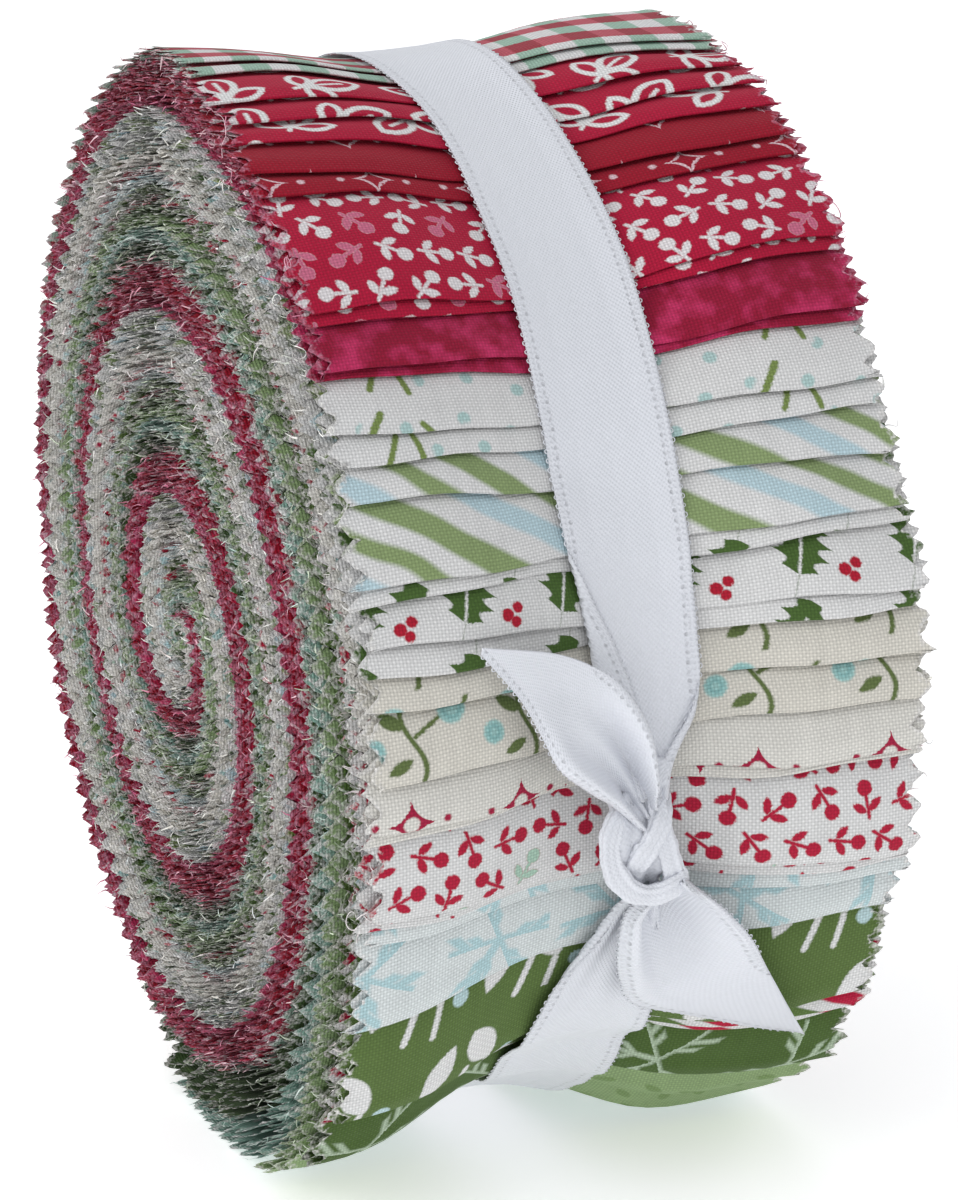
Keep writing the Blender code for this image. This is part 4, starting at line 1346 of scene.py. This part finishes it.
def tie_strand(name, rows):
    """A gathered strand: the ribbon's whole width rolled up lengthwise and finely pleated."""
    table = [(index, *row) for index, row in enumerate(rows)]
    columns = [smooth_table(table, k) for k in range(1, 6)]
    inward = np.linspace(0, 1, STRAND_THREADS)
    angle = -0.95 * math.pi + inward * KNOT_TURNS[name] * 2 * math.pi
    shrink = 1 - ROLL_TIGHTENS * inward * min(1, KNOT_TURNS[name] / 2)
    facing = (angle + math.pi) % (2 * math.pi) - math.pi
    ts = np.linspace(0, len(rows) - 1, STRAND_STATIONS)
    values = [c(ts) for c in columns]
    base = rim_radius(values[0]) - cinch(values[0], values[1])
    line = on_roll(values[0], base + values[2], values[1])
    ahead = unit_rows(np.gradient(line, axis=0))
    grid = []
    for k, (point, way) in enumerate(zip(line, ahead)):
        radians = math.radians(float(values[0][k]))
        outward = np.array([0, -math.sin(radians), math.cos(radians)])
        outward = outward - way * outward.dot(way)
        outward /= np.linalg.norm(outward)
        aside = np.cross(outward, way)
        uneven = 1 + 0.07 * math.sin(k * 0.55 + len(rows)) + 0.05 * math.sin(k * 1.3)
        width, thick = float(values[3][k]) / 2 * uneven, float(values[4][k]) / 2 * uneven
        pleats = 1 + 0.10 * np.sin(angle * PLEATS_ROUND + k * 0.12)
        x = width * np.sin(angle) * shrink * pleats
        y = thick * np.cos(angle) * shrink * pleats
        dent = 0.60 * thick * np.exp(-(facing / 0.70) ** 2) * shrink
        grid.append(point + aside * x[:, None] + outward * (y - dent)[:, None])
    across = np.tile((inward - 0.5) * RIBBON_WIDTH, (STRAND_STATIONS, 1))
    satin_sheet(name, np.array(grid), run_along(line), across, line_length(line))


for strand, rows in KNOT_STRANDS.items():
    tie_strand(strand, rows)

# --- Picots: the tiny loops that the loom leaves along both of the ribbon's edges. ---
# The weft turns back round a fine thread at every millimetre; woven in one with the satin.
PICOT_PITCH, PICOT_REACH, PICOT_THREAD = 1.0, 0.22, 0.14


def picot_tree():
    """A small loop of thread on every point, standing out to its heading."""
    tree, points, reach, thickness = new_tree(
        "picot_loops", ("Loop reach", "Thread thickness"), "Loops")
    arc = add_node(tree, "GeometryNodeCurveArc", {
        "Resolution": 6, "Start Angle": math.radians(-15), "Sweep Angle": math.radians(210),
        "Radius": reach})
    round_thread = add_node(tree, "GeometryNodeCurvePrimitiveCircle", {
        "Resolution": 3, "Radius": thickness * 0.5})
    tube = add_node(tree, "GeometryNodeCurveToMesh", {
        "Curve": arc.outputs["Curve"], "Profile Curve": round_thread.outputs["Curve"]})
    towards = add_node(tree, "FunctionNodeAlignRotationToVector", {
        "Vector": named(tree, "FLOAT_VECTOR", "heading")}, axis="Y")
    level = add_node(tree, "FunctionNodeAlignRotationToVector", {
        "Rotation": towards.outputs[0], "Vector": named(tree, "FLOAT_VECTOR", "lengthwise")},
        axis="X", pivot_axis="Y")
    return finish_tree(tree, points, tube.outputs[0], level.outputs[0], satin)


def add_picots():
    """Loops at every pitch along the band's and the tails' woven edges."""
    chance = np.random.default_rng(61)
    places, headings, lengthwise = [], [], []
    for edge, inner in selvedges:
        run = run_along(edge)
        at = np.arange(0.5, run[-1] - 0.3, PICOT_PITCH)
        spots, inside = (np.stack([np.interp(at, run, line[:, k]) for k in range(3)], 1)
                         for line in (edge, inner))
        places.append(spots)
        headings.append(unit_rows(spots - inside, 1e-9))
        lengthwise.append(unit_rows(np.gradient(spots, axis=0), 1e-9))
    count = sum(len(p) for p in places)
    piece = seeded_points("ribbon_picots", np.concatenate(places), np.concatenate(headings),
                          np.ones((count, 3)), chance.uniform(0.85, 1.15, count))
    store(piece.data, "lengthwise", "FLOAT_VECTOR", np.concatenate(lengthwise))
    grow(piece, picot_tree(), {"Loop reach": PICOT_REACH * MM,
                               "Thread thickness": PICOT_THREAD * MM}, satin)
    piece.data.shade_smooth()
    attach(piece, "root")


add_picots()
